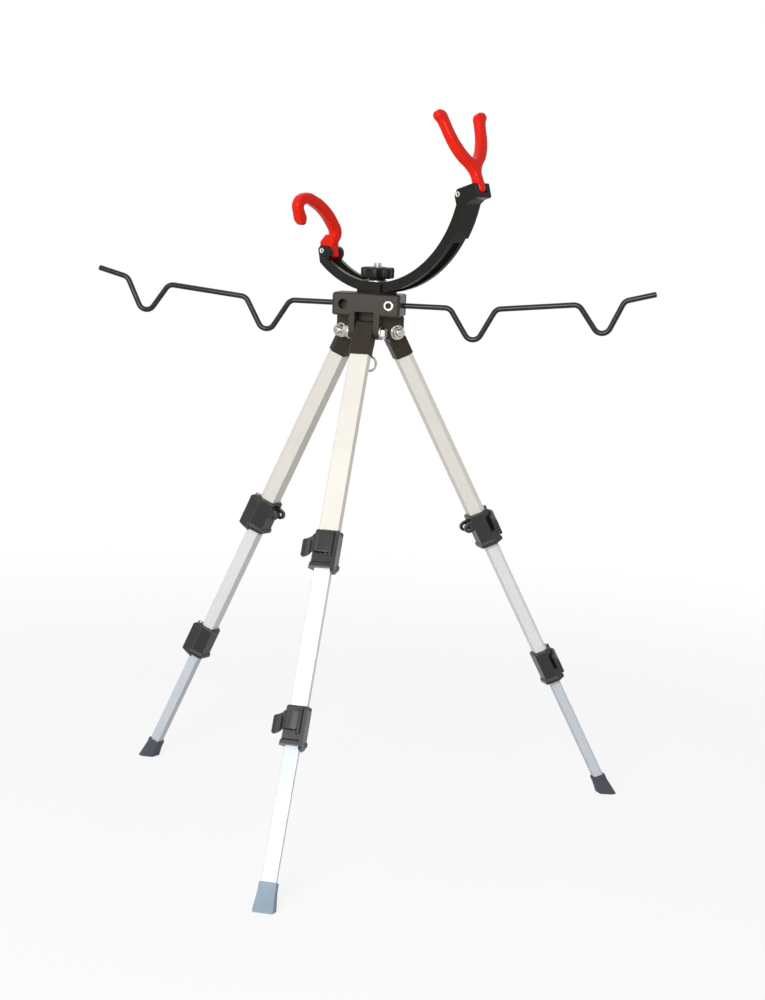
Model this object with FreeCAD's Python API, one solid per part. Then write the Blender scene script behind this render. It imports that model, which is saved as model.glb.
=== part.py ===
import FreeCAD, Part
import math
import os

# Surf rod tripod: three telescopic legs on a moulded head, two bent wire
# rod rests and a swivelling cradle with a hook and a fork.
# Millimetres, +Z up, origin on the ground in the middle of the whole tripod.
# The head and legs are drawn round an upright axis through the head.
# Leg pieces are drawn in a leg frame (X outwards, Y round the tripod,
# Z up along the leg, origin on the hinge) and cradle pieces in a cradle
# frame (X along the cradle, Y across it, origin on the swivel axis).

V = FreeCAD.Vector
DEG = math.pi / 180.0

# Stance of the legs
splay = 28.5
leg_azimuths = {"front": -93.0, "right": 33.0, "left": 153.0}
leg_radii = {"front": 16.0, "right": 21.0, "left": 21.0}
upper_reach = 210.0
middle_reach = 156.5
lower_reach = 153.0

# Leg tube section: six sided, widest at the shoulder
tube_width = 20.0
tube_face = 16.6
tube_spine = 10.4
tube_depth = 14.0
shoulder_depth = 4.5
tube_wall = 1.2
tube_play = 0.2
tube_overlap = 25.0

# Share of a unit direction that counts as upright, across or level
upright_share = 0.98

# Head block
block_length = 62.0
block_depth = 33.0
block_height = 20.2
block_rise = 14.6
block_corner = 2.2
block_round = 1.4
block_front = 22.5
side_groove = 2.2
side_groove_depth = 1.2
side_panel = 22.0

# Leg clevises under the head block
ear_round = 6.5
ear_thickness = 5.3
slot_width = 17.6
slot_roof = 18.2
slot_margin = 0.35

# Leg hinge bolts, size M6
bolt_diameter = 6.0
bolt_flats = 10.0
bolt_head = 4.0
nut_height = 5.0
nut_turn = 30.0
washer_diameter = 13.4
washer_thickness = 1.4
bolt_end = 2.2
bolt_clearance = 0.06

# Leg caps
cap_play = 0.2
knuckle_depth = 14.6
knuckle_rise = 9.0
knuckle_corner = 3.0
sleeve_wall = 0.9
sleeve_top = 8.0
sleeve_bottom = 25.0
tube_top = 10.0

# Wire rod rests
wire_diameter = 5.0
wire_clearance = 0.06
wire_bore_depth = 19.0
wire_reach = 226.0
wire_swing = 35.0
wire_bend = 8.0
wire_sides = 12
wire_bend_chords = 4
wire_reach_shares = (0.189, 0.288, 0.375, 0.700, 0.801, 0.878, 1.0)
wire_swing_shares = (0.0, -1.0, 0.03, 0.25, -0.665, 0.395, 0.605)

# Holes in the front of the block and the clamp screw in the right one
cross_hole = 9.0
cross_hole_place = 20.8
cross_hole_depth = 12.0
screw_diameter = 5.0
screw_head = 9.4
screw_head_height = 3.0
screw_stand = 0.6
screw_socket = 4.0
screw_socket_depth = 2.6
screw_play = 0.15

# Swivel: stud, saddle, washer and hand knob
swivel_x = 6.5
swivel_y = -6.0
cradle_yaw = -32.0
stud_diameter = 7.8
stud_depth = 12.0
stud_top = 27.2
stud_clearance = 0.08
saddle_length = 28.6
saddle_wall = 2.6
saddle_height = 8.8
saddle_floor = 1.0
saddle_play = 0.15
swivel_gap = 0.1
swivel_washer = 18.0
swivel_washer_thickness = 1.6
knob_diameter = 30.5
knob_height = 11.4
knob_hub = 15.0
knob_hub_height = 1.4
knob_lobes = 6
knob_lobe_radius = 4.4
knob_hollow_radius = 5.0
knob_round = 1.5
knob_lobe_chords = 6
knob_hollow_chords = 3

# Cradle arc
arc_radius = 100.8
arc_height = 9.0
arc_width = 18.5
arc_centre_shift = 2.2
rib = 4.0
web = 2.8
web_pocket_angle = 9.0
left_angle = 38.0
right_angle = 74.0
channel_end_angle = 56.0
pad_angle = 59.0
pad_end_angle = 77.5
pad_rise = 2.2

# Rivets that hold the hook and the fork
rivet_diameter = 3.0
rivet_head = 5.2
rivet_head_height = 0.7
rivet_clearance = 0.05
rivet_hollow = 1.8
left_rivet_angle = 40.6
right_rivet_angle = 78.6
rivet_inset = 0.8
hinge_play = 0.25

# Left ears of the arc
ear_small = 4.8
ear_large = 6.3
ear_step = 4.2

# Fork housing at the right end of the arc
housing_tilt = 17.6
housing_inner = 4.0
housing_length = 21.0
housing_above = 4.5
housing_below = 8.4
housing_floor = 4.2
housing_round = 1.6
lip_length = 8.0
lip_step = 2.6

# Fork: half outline from the foot of the stem round one arm to the crotch
fork_thickness = 8.8
fork_edge_round = 2.2
fork_lean = 23.4
fork_stem_place = 18.0
fork_half_spread = 31.4
fork_height = 74.2
fork_tongue_height = 6.6
fork_across_shares = (0.0, 0.102, 0.14, 0.14, 0.146, 0.261, 0.465, 0.643, 0.771, 0.847,
                      0.911, 1.0, 0.962, 0.809, 0.656, 0.592, 0.529, 0.395, 0.21, 0.096)
fork_up_shares = (0.0, 0.016, 0.061, 0.148, 0.236, 0.318, 0.404, 0.519, 0.66, 0.795,
                  0.871, 0.925, 0.984, 1.0, 0.964, 0.876, 0.755, 0.606, 0.485, 0.435)
fork_crotch_share = 0.418
fork_chords = 72

# Hook: centre line from the root round the bow to the tip, and its half width
hook_thickness = 8.0
hook_width = 8.0
hook_edge_round = 1.5
hook_plane = 4.5
hook_foot = 9.5
hook_across = 46.5
hook_rise = 37.5
hook_across_shares = (0.02, 0.05, -0.07, -0.3, -0.58, -0.84, -1.0, -0.97, -0.915)
hook_rise_shares = (0.0, 0.18, 0.43, 0.73, 0.93, 1.0, 0.85, 0.65, 0.48)
hook_chords = 56
hook_width_shares = (0.95, 1.0, 1.0, 1.0, 1.0, 1.0, 1.0, 1.0, 1.15)
hook_root = 9.2
hook_root_x_shares = (-0.78, -0.78, -0.04, 0.9, 0.8, 0.98, 0.54, 0.11, -0.35)
hook_root_z_shares = (0.48, 0.89, 1.61, 1.4, 0.6, -0.54, -0.87, -0.65, -0.22)

# Clamp locks on the tubes
lock_above = 17.5
lock_below = 16.5
lock_wall = 2.5
lock_chamfer = 1.0
lock_lip = 4.6
lock_lip_out = 1.2
flange_above = 15.5
flange_below = 21.0
flange_root = 3.0
flange_front = 5.0
flange_thickness = 3.6
flange_corner = 2.4
flange_chamfer = 2.6
lever_above = 12.0
lever_below = 4.0
lever_thickness = 2.4
lever_stand = 4.6
lever_gap = 0.5
lever_side_gap = 0.25
lever_chords = 8
wing_reach = 8.0
wing_drop = 4.6
wing_slope = 5.5
pin_place = 6.2
pin_diameter = 2.0
pin_clearance = 0.04
barrel_radius = 2.6
pin_ear = 3.2
cam_gap = 0.35
cam_turn = 0.5
window_margin = 0.6
lug_reach = 9.0
lug_round = 4.6
lug_thickness = 3.0
lug_spread = 13.6
lug_hole = 4.0
lug_place = 8.0

# Rubber feet
foot_height = 22.0
foot_wall = 1.6
foot_flare = 2.6
foot_socket = 15.0

# Hanging ring and its eye
ring_diameter = 15.4
ring_wire = 1.8
eye_diameter = 8.0
eye_wire = 2.2
eye_shank = 3.0
eye_drop = 15.0
ring_chords = 24
eye_chords = 16
ring_sides = 8
eye_sides = 8

# Sides of small fixed pins, screws and their holes
pin_sides = 12

# One overrun for every cut
overrun = 1.0

pivot_height = (upper_reach + middle_reach + lower_reach) * math.cos(splay * DEG)
block_bottom = pivot_height + block_rise
block_top = block_bottom + block_height
wire_level = block_bottom + block_height / 2
block_back = block_depth - block_front
knuckle_width = slot_width - 2 * cap_play
clevis_width = slot_width + 2 * ear_thickness
tube_step = tube_wall + tube_play
arc_outer = arc_radius + arc_height
arc_floor = block_top + swivel_gap + saddle_floor
arc_level = arc_floor + arc_outer
knob_level = arc_floor + arc_height + swivel_washer_thickness
tube_names = ("upper", "middle", "lower")


def box(x0, x1, y0, y1, z0, z1):
    return Part.makeBox(x1 - x0, y1 - y0, z1 - z0, V(x0, y0, z0))


def rod(radius, start, end):
    along = end.sub(start)
    return Part.makeCylinder(radius, along.Length, start, along)


def prism(points, along):
    outline = Part.makePolygon(points + [points[0]])
    return Part.Face(outline).extrude(along)


def soften(shape, radius, wanted):
    # Rounds the edges that wanted() picks.
    edges = [edge for edge in shape.Edges if wanted(edge)]
    return shape.makeFillet(radius, edges)


def is_upright(edge):
    return abs(edge.tangentAt(edge.FirstParameter).z) > upright_share


def is_across(edge):
    return abs(edge.tangentAt(edge.FirstParameter).y) > upright_share


def polygon_rod(sides, radius, start, end, turn=0.0):
    # Straight rod with a regular many-sided section.
    along = end.sub(start)
    points = []
    for corner in range(sides):
        angle = corner * 2 * math.pi / sides
        points.append(V(radius * math.cos(angle), radius * math.sin(angle), 0))
    solid = prism(points, V(0, 0, along.Length))
    solid.rotate(V(0, 0, 0), V(0, 0, 1), turn)
    turn_to = FreeCAD.Rotation(V(0, 0, 1), along)
    solid.Placement = FreeCAD.Placement(start, turn_to).multiply(solid.Placement)
    return solid


def hexagon(flats, height, base, along, turn=0.0):
    return polygon_rod(6, flats / math.sqrt(3.0), base, base.add(along * height), turn)


def pin_rod(radius, start, end):
    return polygon_rod(pin_sides, radius, start, end)


def pin_hole(radius, start, end):
    # Many-sided hole whose flats clear a pin of this radius.
    return polygon_rod(pin_sides, radius / math.cos(math.pi / pin_sides), start, end)


def sweep(places, across, radius, sides, closed=False):
    # Many-sided rod along a flat run of places, mitred at every corner.
    rings = []
    last = len(places) - 1
    for index, place in enumerate(places):
        behind = place.sub(places[index - 1])
        ahead = places[(index + 1) % len(places)].sub(place)
        if not closed and index == 0:
            behind = V(ahead)
        if not closed and index == last:
            ahead = V(behind)
        ahead.normalize()
        along = behind.normalize().add(ahead).normalize()
        rise = across.cross(along) * (1 / along.dot(ahead))
        ring = []
        for side in range(sides):
            angle = side * 2 * math.pi / sides
            spot = place.add(across * (radius * math.cos(angle)))
            ring.append(spot.add(rise * (radius * math.sin(angle))))
        rings.append(ring)
    pairs = list(zip(rings, rings[1:]))
    faces = []
    if closed:
        pairs.append((rings[-1], rings[0]))
    else:
        faces = [Part.Face(Part.makePolygon(ring + [ring[0]])) for ring in (rings[0], rings[-1])]
    for near, far in pairs:
        for side in range(sides):
            after = (side + 1) % sides
            outline = [near[side], near[after], far[after], far[side], near[side]]
            faces.append(Part.Face(Part.makePolygon(outline)))
    solid = Part.makeSolid(Part.makeShell(faces))
    if solid.Volume < 0:
        solid.reverse()
    return solid


def section_points(offset, z):
    # Leg tube section, grown by offset on every side (shrunk where negative).
    front = tube_depth / 2
    half = [V(front, tube_face / 2, 0), V(front - shoulder_depth, tube_width / 2, 0),
            V(-front, tube_spine / 2, 0)]
    corners = [V(p.x, -p.y, 0) for p in reversed(half)] + half
    lines = []
    for index, corner in enumerate(corners):
        after = corners[(index + 1) % len(corners)]
        along = after.sub(corner).normalize()
        outwards = V(along.y, -along.x, 0)
        lines.append((corner.add(outwards * offset), along))
    points = []
    for index, (base, along) in enumerate(lines):
        other_base, other_along = lines[index - 1]
        cross = other_along.x * along.y - other_along.y * along.x
        gap = base.sub(other_base)
        reach = (gap.x * along.y - gap.y * along.x) / cross
        meet = other_base.add(other_along * reach)
        points.append(V(meet.x, meet.y, z))
    return points


def section_bar(offset, bottom, top):
    return prism(section_points(offset, bottom), V(0, 0, top - bottom))


def place_leg(shape, leg):
    # Leg frame to the standing tripod.
    placed = shape.copy()
    azimuth = leg_azimuths[leg]
    radius = leg_radii[leg]
    hinge = V(radius * math.cos(azimuth * DEG), radius * math.sin(azimuth * DEG), pivot_height)
    lean = FreeCAD.Rotation(V(0, 1, 0), -splay)
    turn = FreeCAD.Rotation(V(0, 0, 1), azimuth)
    placed.Placement = FreeCAD.Placement(hinge, turn.multiply(lean)).multiply(placed.Placement)
    return placed


def place_clevis(shape, leg):
    # Upright frame at a leg's hinge, X outwards, to the head.
    placed = shape.copy()
    azimuth = leg_azimuths[leg]
    radius = leg_radii[leg]
    hinge = V(radius * math.cos(azimuth * DEG), radius * math.sin(azimuth * DEG), pivot_height)
    turn = FreeCAD.Rotation(V(0, 0, 1), azimuth)
    placed.Placement = FreeCAD.Placement(hinge, turn).multiply(placed.Placement)
    return placed


def place_cradle(shape):
    # Cradle frame to the head.
    placed = shape.copy()
    turn = FreeCAD.Rotation(V(0, 0, 1), cradle_yaw)
    base = V(swivel_x, swivel_y, 0)
    placed.Placement = FreeCAD.Placement(base, turn).multiply(placed.Placement)
    return placed


def bent_path(points, bend):
    # Straight runs joined by tangent arcs of radius bend, the arcs in short chords.
    places = [points[0]]
    for before, corner, after in zip(points, points[1:], points[2:]):
        back = before.sub(corner).normalize()
        ahead = after.sub(corner).normalize()
        half = back.getAngle(ahead) / 2
        reach = bend / math.tan(half)
        bisector = back.add(ahead).normalize()
        middle = corner.add(bisector * (bend / math.sin(half) - bend))
        arc = Part.Arc(corner.add(back * reach), middle, corner.add(ahead * reach))
        places += arc.toShape().discretize(wire_bend_chords + 1)
    return places + [points[-1]]


def clevis_body(leg):
    # Two ears and the web between them, before the slot is cut.
    radius = leg_radii[leg]
    half = clevis_width / 2
    top = block_rise + 2 * block_round
    body = box(-radius, ear_round, -half, half, 0, top)
    skirt = box(-radius, 0, -half, half, -ear_round, 0)
    nose = polygon_rod(2 * pin_sides, ear_round, V(0, -half, 0), V(0, half, 0))
    return place_clevis(body.fuse([skirt, nose]), leg)


def clevis_slot(leg):
    # Room for the leg cap, closed behind where the open leg stops.
    corner = knuckle_depth / 2
    stop = corner * math.cos(splay * DEG) + knuckle_rise * math.sin(splay * DEG)
    back = stop - knuckle_corner / 3 + slot_margin
    half = slot_width / 2
    front = block_front + ear_round
    room = box(-back, front, -half, half, -ear_round - overrun, slot_roof)
    return place_clevis(room, leg)


def hinge_hole(leg):
    radius = bolt_diameter / 2 + bolt_clearance
    half = clevis_width / 2 + overrun
    return place_clevis(pin_hole(radius, V(0, -half, 0), V(0, half, 0)), leg)


def make_head_block():
    half = block_length / 2
    body = box(-half, half, -block_front, block_back, block_bottom, block_top)
    body = body.makeChamfer(block_corner, [edge for edge in body.Edges if is_upright(edge)])
    body = body.makeChamfer(block_round, [edge for edge in body.Edges if not is_upright(edge)])
    clevises = [clevis_body(leg) for leg in leg_azimuths]
    body = body.fuse(clevises)
    cuts = [clevis_slot(leg) for leg in leg_azimuths]
    cuts += [hinge_hole(leg) for leg in leg_azimuths]
    bore = wire_diameter / 2 + wire_clearance
    for side in (-1, 1):
        mouth = V(side * (half + overrun), swivel_y, wire_level)
        floor = V(side * (half - wire_bore_depth), swivel_y, wire_level)
        cuts.append(rod(bore, floor, mouth))
        groove_x = side * (half - side_groove_depth)
        groove_end = side * (half + overrun)
        panel = swivel_y + side_panel / 2
        cuts.append(box(min(groove_x, groove_end), max(groove_x, groove_end),
                        panel - side_groove, panel, block_bottom - overrun, block_top + overrun))
    face = -block_front - overrun
    cross_end = -block_front + cross_hole_depth
    cuts.append(rod(cross_hole / 2, V(-cross_hole_place, face, wire_level),
                    V(-cross_hole_place, cross_end, wire_level)))
    cuts.append(pin_hole(screw_diameter / 2 + bolt_clearance, V(cross_hole_place, face, wire_level),
                         V(cross_hole_place, swivel_y, wire_level)))
    seat = -block_front + screw_head_height - screw_stand
    cuts.append(rod(screw_head / 2 + screw_play, V(cross_hole_place, face, wire_level),
                    V(cross_hole_place, seat, wire_level)))
    cuts.append(rod(stud_diameter / 2 + bolt_clearance, V(swivel_x, swivel_y, block_top - stud_depth),
                    V(swivel_x, swivel_y, block_top + overrun)))
    eye_hole = eye_shank / 2 + bolt_clearance
    cuts.append(pin_hole(eye_hole, V(0, 0, pivot_height - ear_round - overrun),
                         V(0, 0, pivot_height)))
    return body.cut(cuts).removeSplitter()


def make_clamp_screw():
    front = -block_front - screw_stand
    under = front + screw_head_height
    tip = swivel_y - wire_diameter / 2 - wire_clearance
    centre = cross_hole_place
    head = rod(screw_head / 2, V(centre, front, wire_level), V(centre, under, wire_level))
    shank = pin_rod(screw_diameter / 2, V(centre, under, wire_level), V(centre, tip, wire_level))
    socket = hexagon(screw_socket, screw_socket_depth + overrun,
                     V(centre, front - overrun, wire_level), V(0, 1, 0))
    return head.fuse(shank).cut(socket)


def make_wire(side):
    # Bent rod rest: two notches between raised flats, turned up at the tip.
    face = block_length / 2
    inner = face - wire_bore_depth + overrun
    points = [V(side * inner, swivel_y, wire_level)]
    for reach_share, swing_share in zip(wire_reach_shares, wire_swing_shares):
        x = face + reach_share * wire_reach
        points.append(V(side * x, swivel_y, wire_level + swing_share * wire_swing))
    places = bent_path(points, wire_bend)
    radius = wire_diameter / 2
    run = sweep(places[1:], V(0, 1, 0), radius, wire_sides)
    return run.fuse(rod(radius, places[0], places[1]))


def arc_sector(inner, outer, half_width, start, end):
    # Ring sector in the cradle plane, angles from straight down, right positive.
    ring = Part.Face([
        Part.Wire([
            Part.Arc(arc_point(outer, start), arc_point(outer, (start + end) / 2),
                     arc_point(outer, end)).toShape(),
            Part.LineSegment(arc_point(outer, end), arc_point(inner, end)).toShape(),
            Part.Arc(arc_point(inner, end), arc_point(inner, (start + end) / 2),
                     arc_point(inner, start)).toShape(),
            Part.LineSegment(arc_point(inner, start), arc_point(outer, start)).toShape()])])
    ring.translate(V(0, -half_width, 0))
    return ring.extrude(V(0, 2 * half_width, 0))


def arc_point(radius, angle, across=0.0):
    x = arc_centre_shift + radius * math.sin(angle * DEG)
    return V(x, across, arc_level - radius * math.cos(angle * DEG))


def housing_point(along, up, across=0.0):
    # Place in the fork housing, measured from its rivet.
    base = arc_point(arc_radius - rivet_inset, right_rivet_angle)
    tilt = housing_tilt * DEG
    x = base.x + along * math.cos(tilt) - up * math.sin(tilt)
    z = base.z + along * math.sin(tilt) + up * math.cos(tilt)
    return V(x, across, z)


def make_housing_block():
    half = arc_width / 2
    outline = [(-housing_inner, -housing_below), (-housing_inner, 0), (0, housing_above),
               (housing_length, housing_above), (housing_length, -housing_below),
               (housing_length - lip_length, -housing_below),
               (housing_length / 3, -housing_below - lip_step),
               (0, -housing_below - lip_step)]
    points = [housing_point(along, up, -half) for along, up in outline]
    block = prism(points, V(0, arc_width, 0))
    return soften(block, housing_round, is_across)


def make_cradle_arc():
    half = arc_width / 2
    inside = half - rib
    body = arc_sector(arc_radius, arc_outer, half, -left_angle, right_angle)
    outer_pad = arc_sector(arc_radius, arc_outer + pad_rise, half, pad_angle, pad_end_angle)
    base = arc_point(arc_radius - rivet_inset, -left_rivet_angle)
    ears = []
    for radius, step in ((ear_small, 0.0), (ear_large, ear_step)):
        start = V(base.x + step, -half, base.z - step / 2)
        ears.append(polygon_rod(2 * pin_sides, radius, start, start.add(V(0, arc_width, 0))))
    body = body.fuse([outer_pad, make_housing_block()] + ears)
    web_inner = arc_radius + (arc_height - web) / 2
    cuts = []
    cuts.append(arc_sector(web_inner + web, arc_outer + overrun, inside,
                           web_pocket_angle, channel_end_angle))
    cuts.append(arc_sector(web_inner + web, arc_outer + overrun, inside,
                           -left_angle - web_pocket_angle, -web_pocket_angle))
    cuts.append(arc_sector(arc_radius - overrun, web_inner, inside,
                           web_pocket_angle, channel_end_angle))
    cuts.append(arc_sector(arc_radius - 2 * ear_large, web_inner, inside,
                           -left_angle, -web_pocket_angle))
    ear_room = rod(ear_large + ear_small, base.add(V(0, -inside, 0)), base.add(V(0, inside, 0)))
    ear_room = ear_room.cut(arc_sector(web_inner, arc_outer, half, -left_angle + overrun, 0))
    cuts.append(ear_room)
    cuts.append(housing_room(inside))
    for point in (base, housing_point(0, 0)):
        hole = pin_hole(rivet_diameter / 2 + rivet_clearance, V(point.x, -half - overrun, point.z),
                        V(point.x, half + overrun, point.z))
        cuts.append(hole)
    cuts.append(rod(stud_diameter / 2 + stud_clearance, V(0, 0, block_top),
                    V(0, 0, arc_level)))
    spot = arc_floor + arc_height
    seat = swivel_washer / 2 + overrun
    cuts.append(box(-seat, seat, -half - overrun, half + overrun, spot, arc_level))
    return place_cradle(body.cut(cuts).removeSplitter())


def housing_room(inside):
    # Slot between the cheeks, open above and at the outer end.
    floor = -housing_below + housing_floor
    outline = [(-housing_inner - overrun, floor + housing_floor), (-overrun, floor),
               (housing_length + overrun, floor),
               (housing_length + overrun, housing_above + overrun),
               (-housing_inner - overrun, housing_above + overrun)]
    points = [housing_point(along, up, -inside) for along, up in outline]
    return prism(points, V(0, 2 * inside, 0))


def make_saddle():
    half_length = saddle_length / 2
    half_width = arc_width / 2 + saddle_play + saddle_wall
    bottom = block_top + swivel_gap
    body = box(-half_length, half_length, -half_width, half_width, bottom, bottom + saddle_height)
    body = soften(body, block_round, is_upright)
    channel = arc_sector(arc_radius - arc_height, arc_outer, arc_width / 2 + saddle_play,
                         -left_angle, left_angle)
    stud_hole = rod(stud_diameter / 2 + stud_clearance, V(0, 0, bottom - overrun),
                    V(0, 0, bottom + saddle_height))
    return place_cradle(body.cut([channel, stud_hole]))


def make_stud():
    bottom = block_top - stud_depth
    top = block_top + stud_top
    return place_cradle(rod(stud_diameter / 2, V(0, 0, bottom), V(0, 0, top)))


def make_swivel_washer():
    bottom = arc_floor + arc_height
    top = bottom + swivel_washer_thickness
    disc = polygon_rod(2 * pin_sides, swivel_washer / 2, V(0, 0, bottom), V(0, 0, top))
    hole = pin_hole(stud_diameter / 2 + stud_clearance, V(0, 0, bottom - overrun),
                    V(0, 0, top + overrun))
    return place_cradle(disc.cut(hole))


def knob_outline(level):
    # Round lobes joined by hollows that run smoothly into them.
    lobe_centre = knob_diameter / 2 - knob_lobe_radius
    step = 2 * math.pi / knob_lobes
    reach = knob_lobe_radius + knob_hollow_radius
    half_chord = lobe_centre * math.sin(step / 2)
    hollow_centre = (lobe_centre * math.cos(step / 2)
                     + math.sqrt(reach * reach - half_chord * half_chord))
    points = []
    for lobe in range(knob_lobes):
        angle = lobe * step
        centre = polar(lobe_centre, angle, level)
        before = polar(hollow_centre, angle - step / 2, level)
        after = polar(hollow_centre, angle + step / 2, level)
        start = centre.add(before.sub(centre).normalize() * knob_lobe_radius)
        end = centre.add(after.sub(centre).normalize() * knob_lobe_radius)
        tip = polar(knob_diameter / 2, angle, level)
        points += Part.Arc(start, tip, end).toShape().discretize(knob_lobe_chords + 1)[:-1]
        dip = polar(hollow_centre - knob_hollow_radius, angle + step / 2, level)
        following = polar(lobe_centre, angle + step, level)
        next_start = following.add(after.sub(following).normalize() * knob_lobe_radius)
        hollow = Part.Arc(end, dip, next_start).toShape()
        points += hollow.discretize(knob_hollow_chords + 1)[:-1]
    return points


def polar(radius, angle, level):
    return V(radius * math.cos(angle), radius * math.sin(angle), level)


def make_knob():
    bottom = knob_level + hinge_play
    base = bottom + knob_hub_height
    top = bottom + knob_height
    body = prism(knob_outline(base), V(0, 0, top - base))
    rims = [edge for edge in body.Edges if not is_upright(edge)]
    body = body.makeChamfer(knob_round, rims)
    hub = polygon_rod(2 * pin_sides, knob_hub / 2, V(0, 0, bottom), V(0, 0, base + overrun))
    body = body.fuse(hub)
    hole = rod(stud_diameter / 2 + stud_clearance, V(0, 0, bottom - overrun), V(0, 0, top + overrun))
    return place_cradle(body.cut(hole).removeSplitter())


def make_rivet(point):
    # Hollow rivet across the cheeks, its heads outside them.
    half = arc_width / 2
    end = half + rivet_head_height
    shank = rod(rivet_diameter / 2, V(point.x, -end, point.z), V(point.x, end, point.z))
    heads = []
    for side in (-1, 1):
        inner = V(point.x, side * half, point.z)
        outer = V(point.x, side * end, point.z)
        heads.append(polygon_rod(2 * pin_sides, rivet_head / 2, inner, outer))
    dimple = pin_rod(rivet_hollow / 2, V(point.x, -end - overrun, point.z),
                     V(point.x, end + overrun, point.z))
    return place_cradle(shank.fuse(heads).cut(dimple).removeSplitter())


def smooth_plate(points, along, bevel, chords):
    # Plate inside a smooth closed curve of short chords, with bevelled edges.
    curve = Part.BSplineCurve()
    curve.interpolate(points, True)
    plate = prism(curve.toShape().discretize(chords + 1)[:-1], along)
    rims = [edge for edge in plate.Edges
            if abs(edge.tangentAt(edge.FirstParameter).dot(along)) < along.Length / 2]
    return plate.makeChamfer(bevel, rims)


def make_fork():
    # Y shaped rest: a tongue on the rivet, a stem and two arms that open outwards.
    inside = arc_width / 2 - rib - hinge_play
    floor = -housing_below + housing_floor + hinge_play
    tongue_outline = [(-rivet_diameter, floor + rivet_diameter), (0, floor), (fork_stem_place, floor),
                      (fork_stem_place, floor + fork_tongue_height),
                      (-rivet_diameter / 2, floor + fork_tongue_height), (-rivet_diameter, 0)]
    points = [housing_point(along, up, -inside) for along, up in tongue_outline]
    tongue = prism(points, V(0, 2 * inside, 0))
    foot = housing_point(fork_stem_place, floor)
    lean = fork_lean * DEG
    up = V(-math.sin(lean), 0, math.cos(lean))
    through = V(math.cos(lean), 0, math.sin(lean)) * fork_thickness
    start = foot.sub(through * 0.5)
    half = [(across * fork_half_spread, rise * fork_height)
            for across, rise in zip(fork_across_shares, fork_up_shares)]
    outline = half + [(0.0, fork_crotch_share * fork_height)]
    outline += [(-across, rise) for across, rise in reversed(half[1:])]
    places = [start.add(up * rise).add(V(0, across, 0)) for across, rise in outline]
    body = smooth_plate(places, through, fork_edge_round, fork_chords)
    return place_cradle(body.fuse(tongue).cut(rivet_hole(housing_point(0, 0))).removeSplitter())


def rivet_hole(point):
    half = arc_width / 2 + overrun
    radius = rivet_diameter / 2 + rivet_clearance
    return rod(radius, V(point.x, -half, point.z), V(point.x, half, point.z))


def ribbon(places, widths):
    # Closed outline along both sides of a centre line in an upright plane.
    curve = Part.BSplineCurve()
    curve.interpolate(places)
    left = []
    right = []
    for place, width in zip(places, widths):
        along = curve.tangent(curve.parameter(place))[0]
        side = V(0, -along.z, along.y).normalize() * (width / 2)
        left.append(place.add(side))
        right.append(place.sub(side))
    first = curve.tangent(curve.FirstParameter)[0].normalize() * (widths[0] / 2)
    last = curve.tangent(curve.LastParameter)[0].normalize() * (widths[-1] / 2)
    return [places[0].sub(first)] + left + [places[-1].add(last)] + list(reversed(right))


def make_hook():
    # Question mark shaped catch: root between the ears, shank, bow and tip.
    inside = arc_width / 2 - rib - hinge_play
    base = arc_point(arc_radius - rivet_inset, -left_rivet_angle)
    points = [V(base.x + x * hook_root, -inside, base.z + z * hook_root)
              for x, z in zip(hook_root_x_shares, hook_root_z_shares)]
    root = prism(points, V(0, 2 * inside, 0))
    foot = V(base.x + hook_plane - hook_thickness / 2, 0, base.z + hook_foot)
    places = [foot.add(V(0, across * hook_across, rise * hook_rise))
              for across, rise in zip(hook_across_shares, hook_rise_shares)]
    widths = [share * hook_width for share in hook_width_shares]
    bow = smooth_plate(ribbon(places, widths), V(hook_thickness, 0, 0), hook_edge_round,
                       hook_chords)
    return place_cradle(bow.fuse(root).cut(rivet_hole(base)).removeSplitter())


def make_cap(leg):
    # Plastic cap: a rounded knuckle in the clevis and a sleeve round the tube.
    half = knuckle_width / 2
    depth = knuckle_depth / 2
    knuckle = box(-depth, depth, -half, half, -sleeve_bottom / 2, knuckle_rise)
    crown = [edge for edge in knuckle.Edges if edge.BoundBox.ZMin > knuckle_rise - tube_play
             and edge.BoundBox.YMax - edge.BoundBox.YMin > half]
    knuckle = knuckle.makeFillet(knuckle_corner, crown)
    sleeve = section_bar(sleeve_wall, -sleeve_bottom, -sleeve_top)
    socket = section_bar(tube_play / 4, -sleeve_bottom - overrun, -tube_top)
    hole = rod(bolt_diameter / 2 + bolt_clearance, V(0, -half - overrun, 0), V(0, half + overrun, 0))
    return place_leg(knuckle.fuse(sleeve).cut([socket, hole]).removeSplitter(), leg)


def make_hinge_bolt(leg, head_side):
    # Bolt with its head, both washers and the nut, tightened in the clevis.
    ear = clevis_width / 2
    seat = ear + washer_thickness
    head = hexagon(bolt_flats, bolt_head, V(0, head_side * seat, 0), V(0, head_side, 0))
    nut = hexagon(bolt_flats, nut_height, V(0, -head_side * seat, 0), V(0, -head_side, 0), nut_turn)
    end = V(0, -head_side * (seat + nut_height + bolt_end), 0)
    pieces = [head, nut]
    for side in (-1, 1):
        pieces.append(polygon_rod(2 * pin_sides, washer_diameter / 2, V(0, side * ear, 0),
                                  V(0, side * seat, 0)))
    shank = rod(bolt_diameter / 2, V(0, head_side * seat, 0), end)
    return place_clevis(shank.fuse(pieces).removeSplitter(), leg)


def lock_level(index):
    # Distance of the lock of tube index from the hinge.
    return upper_reach if index == 0 else upper_reach + middle_reach


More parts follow.
